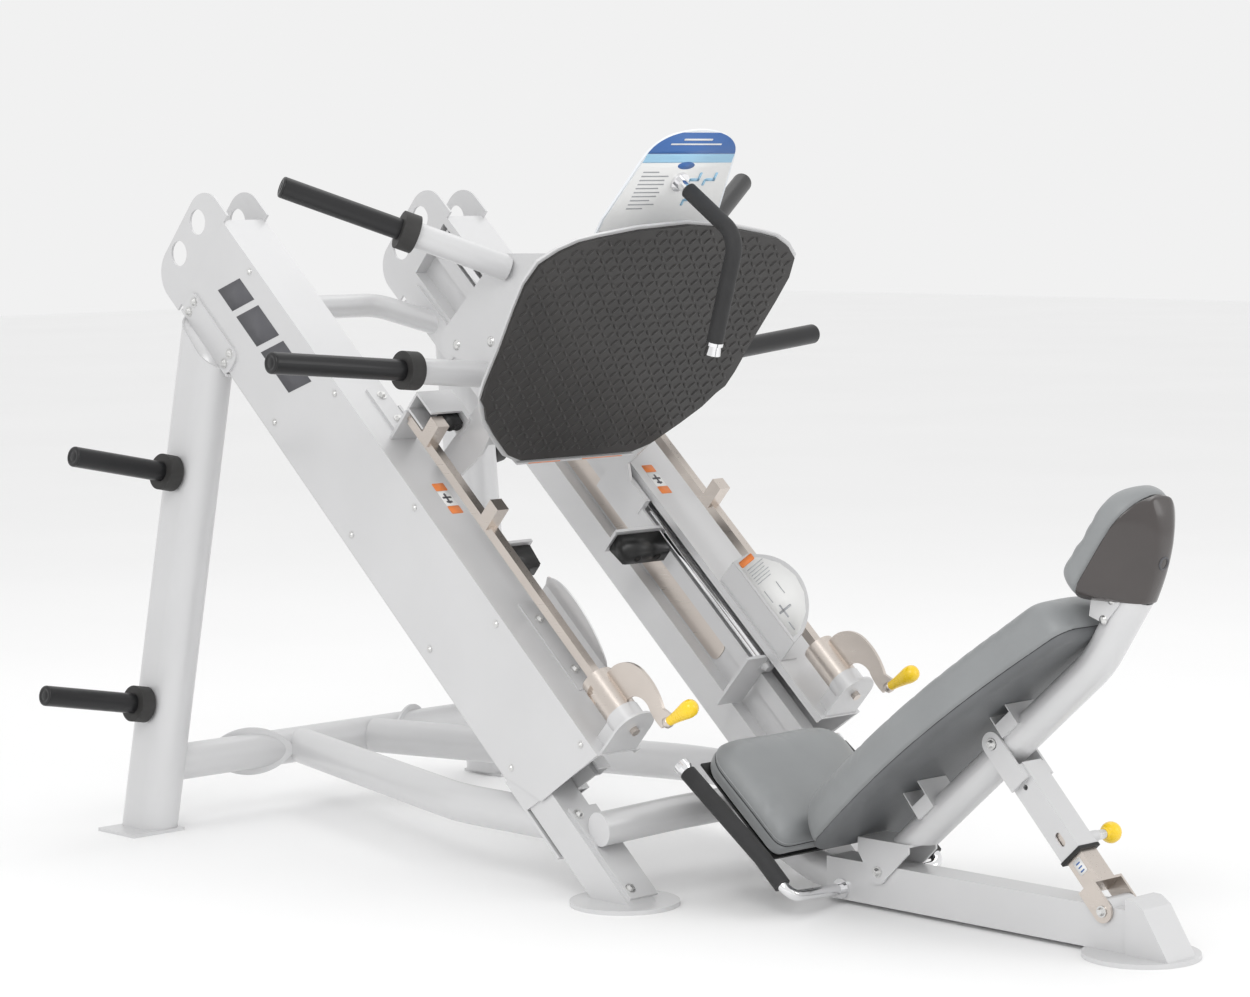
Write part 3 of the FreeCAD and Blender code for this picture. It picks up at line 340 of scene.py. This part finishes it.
def pad_mesh(length, half_width, top, bottom, ends, side, corner, belly=0.03):
    """A crowned closed form over the seam plane z = 0, with a shallower belly below it."""
    bm = bmesh.new()
    upper, lower = [], []
    rows, columns = PAD_STEPS
    for i in range(rows + 1):
        along = length * (0.5 - 0.5 * math.cos(math.pi * i / rows))
        near, far = along, length - along
        wide = half_width(along / length)
        wide -= (corner[0] * (1 - quarter(near, corner[0], 2))
                 + corner[1] * (1 - quarter(far, corner[1], 2)))
        low_end, high_end = quarter(near, ends[0]), quarter(far, ends[1])
        row_up, row_down = [], []
        for k in range(columns + 1):
            across = -math.cos(math.pi * k / columns)
            inside = wide * (1 - abs(across))
            crown = 1 - PAD_CROWN * across * across
            lift = low_end * high_end * quarter(inside, side) * crown
            drop = quarter(near, belly) * quarter(far, belly) * quarter(inside, belly)
            row_up.append(bm.verts.new((along, wide * across, top * lift + PAD_EDGE)))
            row_down.append(bm.verts.new((along, wide * across, -bottom * drop - PAD_EDGE)))
        upper.append(row_up)
        lower.append(row_down)
    bridge(bm, upper, closed=False)
    bridge(bm, lower, closed=False)
    for up, down in ((upper[0], lower[0]), (upper[-1], lower[-1]),
                     ([r[0] for r in upper], [r[0] for r in lower]),
                     ([r[-1] for r in upper], [r[-1] for r in lower])):
        bridge(bm, [up, down], closed=False)
    bmesh.ops.remove_doubles(bm, verts=bm.verts, dist=PAD_MERGE)
    return mesh_of(bm)


def applied(piece):
    """The piece's mesh with its modifiers applied."""
    graph = bpy.context.evaluated_depsgraph_get()
    mesh = bpy.data.meshes.new_from_object(piece.evaluated_get(graph))
    piece.modifiers.clear()
    piece.data = mesh
    return mesh


def stuffed(mesh, cap, voxel=0.0055):
    """The mesh remeshed, blown up a little as cloth, held within a cap and smoothed."""
    scene = bpy.context.scene
    piece = bpy.data.objects.new("stuffing", mesh)
    scene.collection.objects.link(piece)
    remesh = piece.modifiers.new("Voxels", "REMESH")
    remesh.mode = "VOXEL"
    remesh.voxel_size = voxel
    mesh = applied(piece)
    rest = [v.co.copy() for v in mesh.vertices]
    cloth = piece.modifiers.new("Cover", "CLOTH")
    cloth.settings.use_pressure = True
    cloth.settings.uniform_pressure_force = STUFFING
    cloth.settings.effector_weights.gravity = 0
    cloth.settings.quality = 4
    cloth.point_cache.frame_start = 1
    cloth.point_cache.frame_end = CLOTH_FRAMES
    for step in range(1, CLOTH_FRAMES + 1):
        scene.frame_set(step)
    mesh = applied(piece)
    for vertex, start in zip(mesh.vertices, rest):
        move = vertex.co - start
        if move.length > cap:
            vertex.co = start + move * (cap / move.length)
    scene.frame_set(1)
    smooth = piece.modifiers.new("Smooth", "SMOOTH")
    smooth.iterations = 3
    piece.modifiers.new("Finer", "SUBSURF").render_levels = 1
    piece.modifiers["Finer"].levels = 1
    mesh = applied(piece)
    bpy.data.objects.remove(piece)
    return mesh


def pressed_seam(mesh, height):
    """Draws the surface in along a seam at one height, where the side is steep."""
    normals = [vertex.normal.copy() for vertex in mesh.vertices]
    for vertex, normal in zip(mesh.vertices, normals):
        close = math.exp(-((vertex.co.z - height) / SEAM_WIDTH) ** 2)
        pull = SEAM_DEPTH * (1 - abs(normal.z)) * close
        flat = Vector((normal.x, normal.y, 0))
        if flat.length > 0.01:
            vertex.co -= flat.normalized() * pull
    return mesh


def seam_loop(mesh, height):
    """Points around the mesh's section at one height, evenly spread."""
    bm = bmesh.new()
    bm.from_mesh(mesh)
    cut = bmesh.ops.bisect_plane(bm, geom=bm.verts[:] + bm.edges[:] + bm.faces[:],
                                 plane_co=(0, 0, height), plane_no=(0, 0, 1))
    edges = [e for e in cut["geom_cut"] if isinstance(e, bmesh.types.BMEdge)]
    links = {}
    for edge in edges:
        a, b = edge.verts
        links.setdefault(a, []).append(b)
        links.setdefault(b, []).append(a)
    first = max(links, key=lambda v: v.co.x)
    path, last, here = [first.co.copy()], None, first
    while True:
        following = [v for v in links[here] if v is not last]
        if not following or following[0] is first:
            break
        last, here = here, following[0]
        path.append(here.co.copy())
    bm.free()
    lengths = [0.0]
    for a, b in zip(path, path[1:] + path[:1]):
        lengths.append(lengths[-1] + (b - a).length)
    points, k = [], 0
    for i in range(SEAM_POINTS):
        target = lengths[-1] * i / SEAM_POINTS
        while lengths[k + 1] < target:
            k += 1
        part = (target - lengths[k]) / max(lengths[k + 1] - lengths[k], 1e-9)
        points.append(path[k].lerp(path[(k + 1) % len(path)], part))
    return points


def back_half(u):
    """Half-width of the back pad's outline: a shield, widest a little below its middle."""
    return 0.149 + 0.165 * u - 0.200 * u * u


def bowed(mesh):
    """Lifts the middle of the long back pad forward, in one shallow curve."""
    for vertex in mesh.vertices:
        part = min(max(vertex.co.x / BACK_LENGTH, 0), 1)
        vertex.co.z += BACK_BOW * math.sin(math.pi * part)
    return mesh


def make_back():
    """The back cushion with its bead, and the dark cover under it."""
    mesh = pad_mesh(BACK_LENGTH, back_half, 0.094, 0.002, (0.085, 0.07), 0.042, (0.035, 0.04))
    mesh = pressed_seam(stuffed(mesh, cap=0.005), 0.004)
    points = [Vector((p.x, p.y, p.z + BACK_BOW * math.sin(math.pi * p.x / BACK_LENGTH)))
              for p in seam_loop(mesh, 0.0015)]
    pad = new_piece("back_cushion", bowed(mesh), PAD, "upholstery", "backrest")
    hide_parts("back_pad")
    new_piece("back_welt", cord_tube(points, 0.0024), PAD, "welt", "backrest")
    under = pad_mesh(0.856, lambda u: back_half(u) - 0.003, 0.001, 0.017, (0.02, 0.02), 0.02,
                     (0.035, 0.04))
    shell = new_piece("back_cover", bowed(under), PAD, "under_vinyl", "backrest")
    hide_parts("back_board")


def seat_half(u):
    """Half-width of the seat, a little narrower at its rear."""
    return 0.2035 - 0.006 * u * u


def make_seat():
    """The seat cushion with its bead and a line of stitching above it."""
    seam = -0.031
    place = SEAT @ Matrix.Translation((-0.007, 0, seam))
    mesh = pad_mesh(0.306, seat_half, 0.045, 0.034, (0.075, 0.05), 0.060, (0.075, 0.03),
                    belly=0.012)
    mesh = pressed_seam(stuffed(mesh, cap=0.005), 0.0)
    points = seam_loop(mesh, 0.0)
    upper = seam_loop(mesh, 0.009)
    pad = new_piece("seat_cushion", mesh, place, "upholstery", "frame")
    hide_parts("seat_pad")
    new_piece("seat_welt", cord_tube(points, 0.0012), place, "welt", "frame")
    new_piece("seat_stitch", cord_tube(upper, 0.0006, 6), place, "line", "frame")


def head_half(u):
    """Half-width of the head cushion, narrower towards its top."""
    return 0.103 - 0.014 * u ** 3


def make_head():
    """The head cushion with its bead, in front of the moulding."""
    place = HEAD @ Matrix.Translation((0.001, 0, 0.001))
    mesh = pad_mesh(HEAD_LENGTH, head_half, 0.057, 0.001, (0.045, 0.060), 0.024, (0.055, 0.092))
    mesh = pressed_seam(stuffed(mesh, cap=0.004, voxel=0.005), 0.002)
    points = seam_loop(mesh, 0.0015)
    pad = new_piece("head_cushion", mesh, place, "upholstery", "backrest")
    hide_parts("head_pad")
    new_piece("head_welt", cord_tube(points, 0.0018), place, "welt", "backrest")
    make_head_shell()


def shell_ring(part):
    """Half a ring of the head moulding, from its rim round the back, at one height."""
    along = HEAD_LENGTH * part
    deep = 0.113 - 0.028 * part - 0.045 * part ** 3
    if part > 0.7:
        deep *= math.sqrt(1 - ((part - 0.7) / 0.3) ** 2 * 0.9)
    corner = 0.055 if part < 0.5 else 0.092
    near_end = min(along, HEAD_LENGTH - along)
    curve = math.sqrt(max(0.0, 1 - (1 - min(near_end / corner, 1)) ** 2))
    rim = HEAD_HALF - 0.014 * part ** 3 - corner + corner * curve
    points = []
    for i in range(RING_POINTS):
        a = math.pi * i / (RING_POINTS - 1)
        across = math.cos(a)
        at_rim = i in (0, RING_POINTS - 1)
        width = rim if at_rim else SHELL_BACK + (rim - SHELL_BACK) * (1 - math.sin(a)) ** 1.6
        height = -deep * math.sin(a) ** 0.8
        points.append((width * (abs(across) ** 0.55) * (1 if across > 0 else -1), height))
    return along, points


def make_head_shell():
    """The glossy moulding: full width at the cushion, closing in to a round back."""
    bm = bmesh.new()
    loops = []
    for k in range(SHELL_RINGS + 1):
        along, points = shell_ring(k / SHELL_RINGS)
        loops.append([bm.verts.new((along + mouth_lift(along, z), y, z)) for y, z in points])
    bridge(bm, loops, closed=False)
    bm.faces.new(loops[-1])
    mesh = mesh_of(bm)
    shell = new_piece("head_moulding", mesh, HEAD, "head_gloss", "backrest")
    wall = shell.modifiers.new("Wall", "SOLIDIFY")
    wall.thickness = SHELL_WALL
    smooth = shell.modifiers.new("Rounder", "SUBSURF")
    smooth.levels = smooth.render_levels = 2
    applied(shell)
    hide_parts("head_shell")
    eye = lathe([(0.0, -0.006), (0.009, -0.006), (0.010, 0.0), (0.0115, 0.0022),
                 (0.0135, 0.0022), (0.0145, 0.0), (0.0145, -0.004)], 32)
    tree = BVHTree.FromPolygons([HEAD.inverted() @ v.co for v in shell.data.vertices],
                                [p.vertices[:] for p in shell.data.polygons])
    at, away = tree.ray_cast(Vector((HOLE_HEIGHT, 0, -0.3)), Vector((0, 0, 1)))[:2]
    away = away if away.z < 0 else -away
    new_piece("head_hole_ring", eye, HEAD @ aligned(at, away), "ink", "backrest")
    bolts = [dome(HEAD @ aligned((x, side * 0.0430, z), (0, side, 0)), 0.0085, 0.0055)
             for x, z in ((0.041, -0.052), (-0.0055, -0.059)) for side in (-1, 1)]
    new_piece("head_bracket_bolts", joined(bolts), STILL, "zinc", "backrest")


def mouth_lift(along, z):
    """Raises the moulding's lower edge towards its back, level with the floor."""
    depth = -z
    edge = 0.66 * depth if depth > 0.02 else -0.9 * depth
    return edge * max(0.0, 1 - along / 0.20)


# ---------------------------------------------------------------- foot plate treads

TREAD_LENGTH, TREAD_WIDTH, TREAD_HEIGHT = 0.0235, 0.0078, 0.0026
TREAD_PITCH, TREAD_MARGIN = 0.0235, 0.012


def tread():
    """One raised lozenge of the tread pattern: three rings of points, rising inwards."""
    rings = ((1.0, 0.0), (0.86, 0.62), (0.5, 0.95))
    turns = [2 * math.pi * i / 10 for i in range(10)]
    return [[(TREAD_LENGTH / 2 * scale * math.cos(a), TREAD_WIDTH / 2 * scale * math.sin(a),
              TREAD_HEIGHT * lift) for a in turns] for scale, lift in rings]


def make_treads():
    """Lozenges in alternating directions over the foot mat, kept inside its edge."""
    node = NODES["foot_mat"]
    local = node.data.copy()
    local.transform(PRESS.inverted())
    tree = BVHTree.FromPolygons([v.co for v in local.vertices],
                                [p.vertices[:] for p in local.polygons])
    lows = [min(v.co[i] for v in local.vertices) for i in range(3)]
    highs = [max(v.co[i] for v in local.vertices) for i in range(3)]
    face = highs[0]
    bm = bmesh.new()
    shape = tread()
    rows = int((highs[2] - lows[2]) / TREAD_PITCH) + 1
    columns = int((highs[1] - lows[1]) / TREAD_PITCH) + 1
    around = ((0, 0), (TREAD_MARGIN, 0), (-TREAD_MARGIN, 0), (0, TREAD_MARGIN), (0, -TREAD_MARGIN))
    inwards = Vector((-1, 0, 0))
    for row in range(rows):
        for column in range(columns):
            y = lows[1] + TREAD_PITCH * (column + 0.25)
            t = lows[2] + TREAD_PITCH * (row + 0.25)
            if not all(tree.ray_cast(Vector((face + 0.1, y + a, t + b)), inwards, 0.105)[0]
                       for a, b in around):
                continue
            turn = math.radians(45 if (row + column) % 2 else -45)
            c, d = math.cos(turn), math.sin(turn)
            loops = []
            for ring in shape:
                loops.append([bm.verts.new((face - 0.0001 + z, y + u * c - v * d,
                                            t + u * d + v * c)) for u, v, z in ring])
            bridge(bm, loops)
            bm.faces.new(loops[-1])
    new_piece("mat_treads", mesh_of(bm), PRESS, "mat_rubber", "carriage")


# ---------------------------------------------------------------- knobs, sleeves, bumpers

SAME_POINT = 0.00001                    # points this close belong to one solid
RING_WIDTH = 0.12                       # more than any sleeve's diameter
BUFFER_EDGE = 0.005
WELLS = (0.28, 0.72)                    # the bolt wells' places across a buffer
PLATE_FACE = -0.276                     # outer face of the carriage's near side plate
CAP_LEVEL = -0.274                      # of the uprights' upper ends, below the rails' top


def make_safety_knobs():
    """Teardrop grips at the ends of the two cranks."""
    profile = [(0.0085, -0.006), (0.0105, -0.004), (0.0108, 0.006), (0.0125, 0.022),
               (0.0155, 0.040), (0.0185, 0.056), (0.0200, 0.067), (0.0192, 0.077),
               (0.0160, 0.084), (0.0100, 0.0885), (0.0040, 0.0900)]
    lean = Vector((0.33, 0, 0.94)).to_track_quat("Z", "Y").to_matrix().to_4x4()
    for side, flip in SIDES:
        base = RAIL @ Matrix.Translation((1.801, -0.355, 0.166))
        place = flip @ base @ lean
        knob = new_piece(f"{side}_teardrop_knob", lathe(profile), place, "knob_yellow",
                         f"{side}_bar")
        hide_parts(f"{side}_safety_knob")
        ferrule = lathe([(0.011, -0.012), (0.0125, -0.010), (0.0125, 0.000), (0.011, 0.002)], 28)
        new_piece(f"{side}_knob_ferrule", ferrule, place, "nickel", f"{side}_bar")


def make_pin_knob():
    """The ball of the pull pin with its short neck."""
    radius = 0.023
    profile = [(0.0108, -0.0240), (0.0122, -0.0232), (0.0125, -0.0195)]
    profile += [(radius * math.cos(a), radius * math.sin(a))
                for a in (math.radians(-57 + 12 * i) for i in range(13))]
    at = Matrix.Translation((0, 0.129, 0.170))
    place = PROP @ at @ Matrix.Rotation(math.radians(-90), 4, "X")
    knob = new_piece("pull_ball", lathe(profile), place, "knob_yellow", "pin")
    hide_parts("pin_knob")


def parts_of(node_name):
    """The separate solids of a node, as lists of points."""
    bm = bmesh.new()
    bm.from_mesh(NODES[node_name].data)
    bmesh.ops.remove_doubles(bm, verts=bm.verts, dist=SAME_POINT)
    seen, groups = set(), []
    for vertex in bm.verts:
        if vertex in seen:
            continue
        stack, group = [vertex], []
        seen.add(vertex)
        while stack:
            here = stack.pop()
            group.append(here.co.copy())
            for edge in here.link_edges:
                other = edge.other_vert(here)
                if other not in seen:
                    seen.add(other)
                    stack.append(other)
        groups.append(group)
    bm.free()
    return groups


def outward_axis(points):
    """Centre, unit axis pointing away from the machine, and half length of a long ring."""
    centre = sum(points, Vector()) / len(points)
    far = max(points, key=lambda p: (p - centre).length)
    end = [p for p in points if (p - far).length < RING_WIDTH
           and abs((p - centre).length - (far - centre).length) < 0.002]
    reach = sum(end, Vector()) / len(end) - centre
    if reach.y * centre.y < 0:
        reach = -reach
    return centre, reach.normalized(), reach.length


def make_sleeve_ends():
    """A rounded end cap with a recessed rim on every weight sleeve."""
    profile = [(0.0243, 0.0), (0.0243, 0.0015), (0.0232, 0.0038), (0.0205, 0.0052),
               (0.0165, 0.0056), (0.0155, 0.0046), (0.0105, 0.0044), (0.0098, 0.0054),
               (0.0040, 0.0058)]
    for node_name, body in (("weight_sleeves", "carriage"), ("storage_sleeves", "frame")):
        caps = []
        for points in parts_of(node_name):
            centre, axis, half = outward_axis(points)
            cap = lathe(profile, 36)
            cap.transform(aligned(centre + axis * half, axis))
            caps.append(cap)
        new_piece(node_name.replace("sleeves", "caps"), joined(caps), STILL,
                  "sleeve_black", body)


def buffer_block(x0, x1, y0, y1, z0, z1, rake):
    """One rubber buffer, narrowing by its rake towards x1, with two bolt wells in that face."""
    mesh = block(x0, x1, y0, y1, z0, z1, BUFFER_EDGE)
    middle_y, middle_z = (y0 + y1) / 2, (z0 + z1) / 2
    for vertex in mesh.vertices:
        part = (vertex.co.x - x0) / (x1 - x0)
        narrow_z = 1 - 2 * rake * part / (z1 - z0)
        narrow_y = 1 - 0.5 * rake * part / (y1 - y0)
        vertex.co.z = middle_z + (vertex.co.z - middle_z) * narrow_z
        vertex.co.y = middle_y + (vertex.co.y - middle_y) * narrow_y
    bm = bmesh.new()
    bm.from_mesh(mesh)
    for part in WELLS:
        well = lathe([(0.0085, 0.0), (0.0105, 0.0012), (0.0085, 0.0002), (0.007, -0.006)], 24)
        well.transform(aligned((x1, y0 + (y1 - y0) * part, middle_z), (1, 0, 0)))
        bm.from_mesh(well)
    return mesh_of(bm)


def make_bumpers():
    """Tapered rubber buffers with two bolt wells in the lower face."""
    for kind, *box_and_rake in (
            ("lower", 1.080, 1.142, -0.283, -0.139, -0.096, -0.042, 0.007),
            ("upper", 0.800, 0.848, -0.334, -0.286, 0.104, 0.138, 0.004)):
        pair = []
        for flip in (STILL, MIRROR):
            mesh = buffer_block(*box_and_rake)
            mesh.transform(flip @ RAIL)
            pair.append(mesh)
        piece = new_piece(f"{kind}_buffers", joined(pair), STILL, "bumper_rubber", "carriage")
        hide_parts(f"{kind}_bumpers")


def make_carriage_bolts():
    """Screw heads on the outer faces of the carriage's side plates."""
    heads = []
    for flip in (STILL, MIRROR):
        for along, out in ((0.7019, 0.2423), (0.7834, 0.3295)):
            at = RAIL @ aligned((along, PLATE_FACE, out), (0, -1, 0))
            mesh = dome(at, 0.0105, 0.006)
            mesh.transform(flip)
            heads.append(mesh)
    new_piece("carriage_screws", joined(heads), STILL, "zinc", "carriage")


def make_upright_caps():
    """Closing plates on the sloping upper ends of the oval uprights."""
    to_rail = RAIL.inverted()
    points = [to_rail @ v.co for v in NODES["left_upright"].data.vertices]
    flange_x, flange_y = (0.018, 0.254), (-0.428, -0.285)
    ring = [p for p in points if abs(p.z - CAP_LEVEL) < 0.0003
            and all(abs(p.x - x) > 0.0005 for x in flange_x)
            and all(abs(p.y - y) > 0.0005 for y in flange_y)]
    bm = bmesh.new()
    for point in ring:
        for height in (CAP_LEVEL - 0.003, CAP_LEVEL - 0.0005):
            bm.verts.new((point.x, point.y, height))
    bmesh.ops.convex_hull(bm, input=bm.verts)
    cap = mesh_of(bm)
    for side, flip in SIDES:
        new_piece(f"{side}_upright_cap", cap.copy(), flip @ RAIL, "frame_paint", "frame")


# ---------------------------------------------------------------- printed labels

PRINT = 0.0006                          # how far a print's face stands off its panel
OVERPRINT = 0.0010                      # and one printed over another
PRINT_THICKNESS = 0.0004


def rounded_patch(x0, x1, y0, y1, radius):
    """A rectangle with round corners, as (x, y) points."""
    corners = ((x1 - radius, y1 - radius, 0), (x0 + radius, y1 - radius, 90),
               (x0 + radius, y0 + radius, 180), (x1 - radius, y0 + radius, 270))
    points = []
    for cx, cy, start in corners:
        for turn in (0, 30, 60, 90):
            a = math.radians(start + turn)
            points.append((cx + radius * math.cos(a), cy + radius * math.sin(a)))
    return points


def label(name, place, rects, material, body, lift=PRINT):
    """Thin printed patches, each (x0, x1, y0, y1) in a frame's X-Y plane, in one piece."""
    meshes = []
    for x0, x1, y0, y1 in rects:
        r = min(0.003, (x1 - x0) / 3, (y1 - y0) / 3)
        meshes.append(slab(rounded_patch(x0, x1, y0, y1, r), lift - PRINT_THICKNESS, lift))
    return new_piece(name, joined(meshes), place, material, body)


def make_rail_labels():
    """A small three-part label on the upper face of each rail."""
    for side, flip in SIDES:
        place = flip @ RAIL
        ends = [(0.907, 0.931, -0.353, -0.318), (0.980, 1.004, -0.353, -0.318)]
        mark = [(0.940, 0.972, -0.340, -0.334), (0.950, 0.956, -0.349, -0.323),
                (0.964, 0.970, -0.345, -0.328)]
        label(f"{side}_rail_label_ends", place, ends, "orange", "frame")
        label(f"{side}_rail_label_middle", place, [(0.932, 0.979, -0.353, -0.318)], "white",
              "frame")
        label(f"{side}_rail_label_mark", place, mark, "ink", "frame", lift=OVERPRINT)


def make_cover_stripes():
    """Plain slanted bars on the outside of the near and far rail covers."""
    onto = Matrix.Translation((0, -0.422, 0)) @ Matrix.Rotation(math.radians(90), 4, "X")
    low, high, slant = -0.140, -0.060, 0.045
    for side, flip in SIDES:
        meshes = []
        for start, run in ((0.091, 0.075), (0.186, 0.105), (0.311, 0.140)):
            outline = [(start, low), (start + run, low), (start + run + slant, high),
                       (start + slant, high)]
            meshes.append(slab(outline, 0.0, PRINT))
        new_piece(f"{side}_cover_bars", joined(meshes), flip @ RAIL @ onto, "ink", "frame")


def make_guard_labels():
    """A printed panel without words on the D-shaped plates beside the bars."""
    lean = Matrix.Translation((1.294, -0.300, 0.062)) @ Matrix.Rotation(math.radians(32), 4, "X")
    onto = (Matrix.Translation((0, 0.0016, 0)) @ Matrix.Rotation(math.radians(-90), 4, "X")
            @ Matrix.Scale(-1, 4, (0, 1, 0)))
    panel = [(0.010, 0.006), (0.252, 0.006), (0.249, 0.028), (0.222, 0.066), (0.180, 0.090),
             (0.130, 0.098), (0.080, 0.086), (0.040, 0.060), (0.014, 0.036)]
    lines = [(0.042 + 0.009 * i, 0.044 + 0.009 * i, 0.014, 0.060 - 0.003 * (i % 3))
             for i in range(6)]
    lines += [(0.112, 0.150, 0.016, 0.018), (0.112, 0.150, 0.052, 0.054),
              (0.165, 0.205, 0.024, 0.028), (0.180, 0.186, 0.014, 0.048),
              (0.215, 0.240, 0.018, 0.021)]
    for side, flip in SIDES:
        place = flip @ RAIL @ lean @ onto
        new_piece(f"{side}_guard_panel", slab(panel, 0.0, 0.0005), place, "white", "frame")
        label(f"{side}_guard_header", place, [(0.012, 0.030, 0.008, 0.046)], "orange", "frame",
              lift=OVERPRINT)
        label(f"{side}_guard_lines", place, lines, "line", "frame", lift=OVERPRINT)


def placard_half(t):
    """Half-width of the placard at a height: straight, then tapering, then a round top."""
    if t <= 1.840:
        return 0.181
    if t <= 2.000:
        return 0.181 - 0.036 * (t - 1.840) / 0.160
    return 0.145 * math.sqrt(max(0.0, 1 - ((t - 2.000) / 0.0805) ** 2.4))


def placard_band(low, high):
    """A stretch just inside the placard's outline between two heights, as (y, t) points."""
    inset, smallest, steps = 0.006, 0.004, 14
    heights = [low + (high - low) * i / steps for i in range(steps + 1)]
    right = [(max(placard_half(t) - inset, smallest), t) for t in heights]
    return right + [(-y, t) for y, t in reversed(right)]


def make_placard():
    """Coloured bands and plain marks on the placard above the foot plate."""
    facing = Matrix(((0, 0, 1, 0.025), (1, 0, 0, 0), (0, 1, 0, 0), (0, 0, 0, 1)))
    place = PRESS @ facing
    over = 0.0011
    for name, low, high, ink in (("header", 2.016, 2.073, "blue"),
                                 ("band", 1.992, 2.015, "pale_blue"),
                                 ("sheet", 1.795, 1.991, "white")):
        mesh = slab(placard_band(low, high), 0.0, PRINT)
        new_piece(f"placard_{name}", mesh, place, ink, "carriage")
    pill = [(0.026 * math.cos(a), 1.984 + 0.010 * math.sin(a))
            for a in (2 * math.pi * i / 32 for i in range(32))]
    new_piece("placard_pill", slab(pill, PRINT, over), place, "blue", "carriage")
    widths = (0.05, 0.085, 0.078, 0.082, 0.07, 0.080, 0.076, 0.06, 0.08, 0.05)
    lines = [(-0.125, -0.125 + width, 1.965 - 0.011 * i, 1.968 - 0.011 * i)
             for i, width in enumerate(widths)]
    title = [(-0.080, 0.080, 2.040, 2.044), (-0.045, 0.045, 2.052, 2.057)]
    figures = []
    for x, t in ((0.050, 1.945), (0.100, 1.945), (0.062, 1.890)):
        figures += [(x - 0.018, x + 0.014, t - 0.004, t + 0.004),
                    (x + 0.006, x + 0.014, t - 0.004, t + 0.020),
                    (x - 0.022, x - 0.014, t - 0.016, t + 0.002)]
    for name, rects, ink in (("lines", lines, "line"), ("title_bars", title, "white"),
                             ("figures", figures, "pale_blue")):
        label(f"placard_{name}", place, rects, ink, "carriage", lift=over)


def make_lip_label():
    """A plain orange strip in two lengths along the front edge of the heel shelf."""
    facing = Matrix(((0, 0, 1, 0.112), (1, 0, 0, 0), (0, 1, 0, 0), (0, 0, 0, 1)))
    strips = [(-0.150, -0.050, 1.2085, 1.2105), (0.020, 0.150, 1.2085, 1.2105)]
    label("lip_strip", PRESS @ facing, strips, "orange", "carriage")


def make_prop_scale():
    """Tick marks of the adjusting scale on the inner prop tube."""
    place = PROP @ Matrix.Translation((0, -0.024, 0)) @ Matrix.Rotation(math.radians(90), 4, "X")
    marks = [(-0.006, 0.006, 0.097 + 0.009 * i, 0.100 + 0.009 * i) for i in range(3)]
    label("prop_scale_panel", place, [(-0.012, 0.012, 0.092, 0.126)], "white", "prop_lower")
    label("prop_scale_marks", place, marks, "blue", "prop_lower", lift=OVERPRINT)


# ---------------------------------------------------------------- camera, floor and light

CAMERA_ANGLES = (46.355, 5.243, -0.5165)            # azimuth, pitch and roll in degrees
CAMERA_PLACE = (6.74585 - MIDDLE, -5.52318, 1.57545)
CAMERA_LENS = 99.96                                 # millimetres, on a 36 mm sensor
FLOOR_SIZE, SKY = 30, 0.88
LAMPS = (("key", (3.0, -4.5, 5.0), 3.0, 105),       # name, place, size, watts
         ("fill", (5.5, 3.0, 3.0), 3.0, 40),
         ("top", (-1.5, 1.0, 5.5), 4.5, 45))
LAMP_TARGET = Vector((0, 0, 0.7))


def make_camera():
    """A camera with a long lens, turned by its three angles."""
    azimuth, pitch, roll = (math.radians(angle) for angle in CAMERA_ANGLES)
    ahead = Vector((-math.sin(azimuth) * math.cos(pitch), math.cos(azimuth) * math.cos(pitch),
                    -math.sin(pitch)))
    right = Vector((math.cos(azimuth), math.sin(azimuth), 0))
    up = right.cross(ahead)
    right, up = (right * math.cos(roll) + up * math.sin(roll),
                 up * math.cos(roll) - right * math.sin(roll))
    data = bpy.data.cameras.new("Camera")
    data.sensor_width = 36
    data.lens = CAMERA_LENS
    data.clip_end = 60
    camera = bpy.data.objects.new("Camera", data)
    turn = Matrix((right, up, -ahead)).transposed().to_4x4()
    camera.matrix_world = Matrix.Translation(CAMERA_PLACE) @ turn
    bpy.context.scene.collection.objects.link(camera)
    bpy.context.scene.camera = camera


def make_studio():
    """A pale seamless floor, even sky light and three large soft lamps."""
    bm = bmesh.new()
    bmesh.ops.create_grid(bm, x_segments=1, y_segments=1, size=FLOOR_SIZE)
    mesh = mesh_of(bm)
    floor = bpy.data.objects.new("studio_floor", mesh)
    bpy.context.scene.collection.objects.link(floor)
    mat, nodes, links, bsdf, place = shader("studio_floor", 0.9)
    tint = ramp(nodes, links, texture(nodes, links, place, "noise", 0.6),
                [(0.3, (0.95, 0.95, 0.95)), (0.7, (0.97, 0.97, 0.97))])
    links.new(tint, bsdf.inputs["Base Color"])
    mesh.materials.append(mat)
    world = bpy.data.worlds.new("studio")
    bpy.context.scene.world = world
    world.use_nodes = True
    sky = world.node_tree.nodes["Background"]
    sky.inputs["Color"].default_value = (1, 1, 1, 1)
    sky.inputs["Strength"].default_value = SKY
    for name, place, size, power in LAMPS:
        data = bpy.data.lights.new(name, "AREA")
        data.size = size
        data.energy = power
        lamp = bpy.data.objects.new(name, data)
        lamp.matrix_world = aligned(place, Vector(place) - LAMP_TARGET)
        bpy.context.scene.collection.objects.link(lamp)


make_camera()
make_studio()
make_back()
make_seat()
make_head()
make_treads()
make_safety_knobs()
make_pin_knob()
make_sleeve_ends()
make_bumpers()
make_carriage_bolts()
make_upright_caps()
make_rail_labels()
make_cover_stripes()
make_guard_labels()
make_placard()
make_lip_label()
make_prop_scale()

bpy.context.scene.view_settings.view_transform = "Standard"
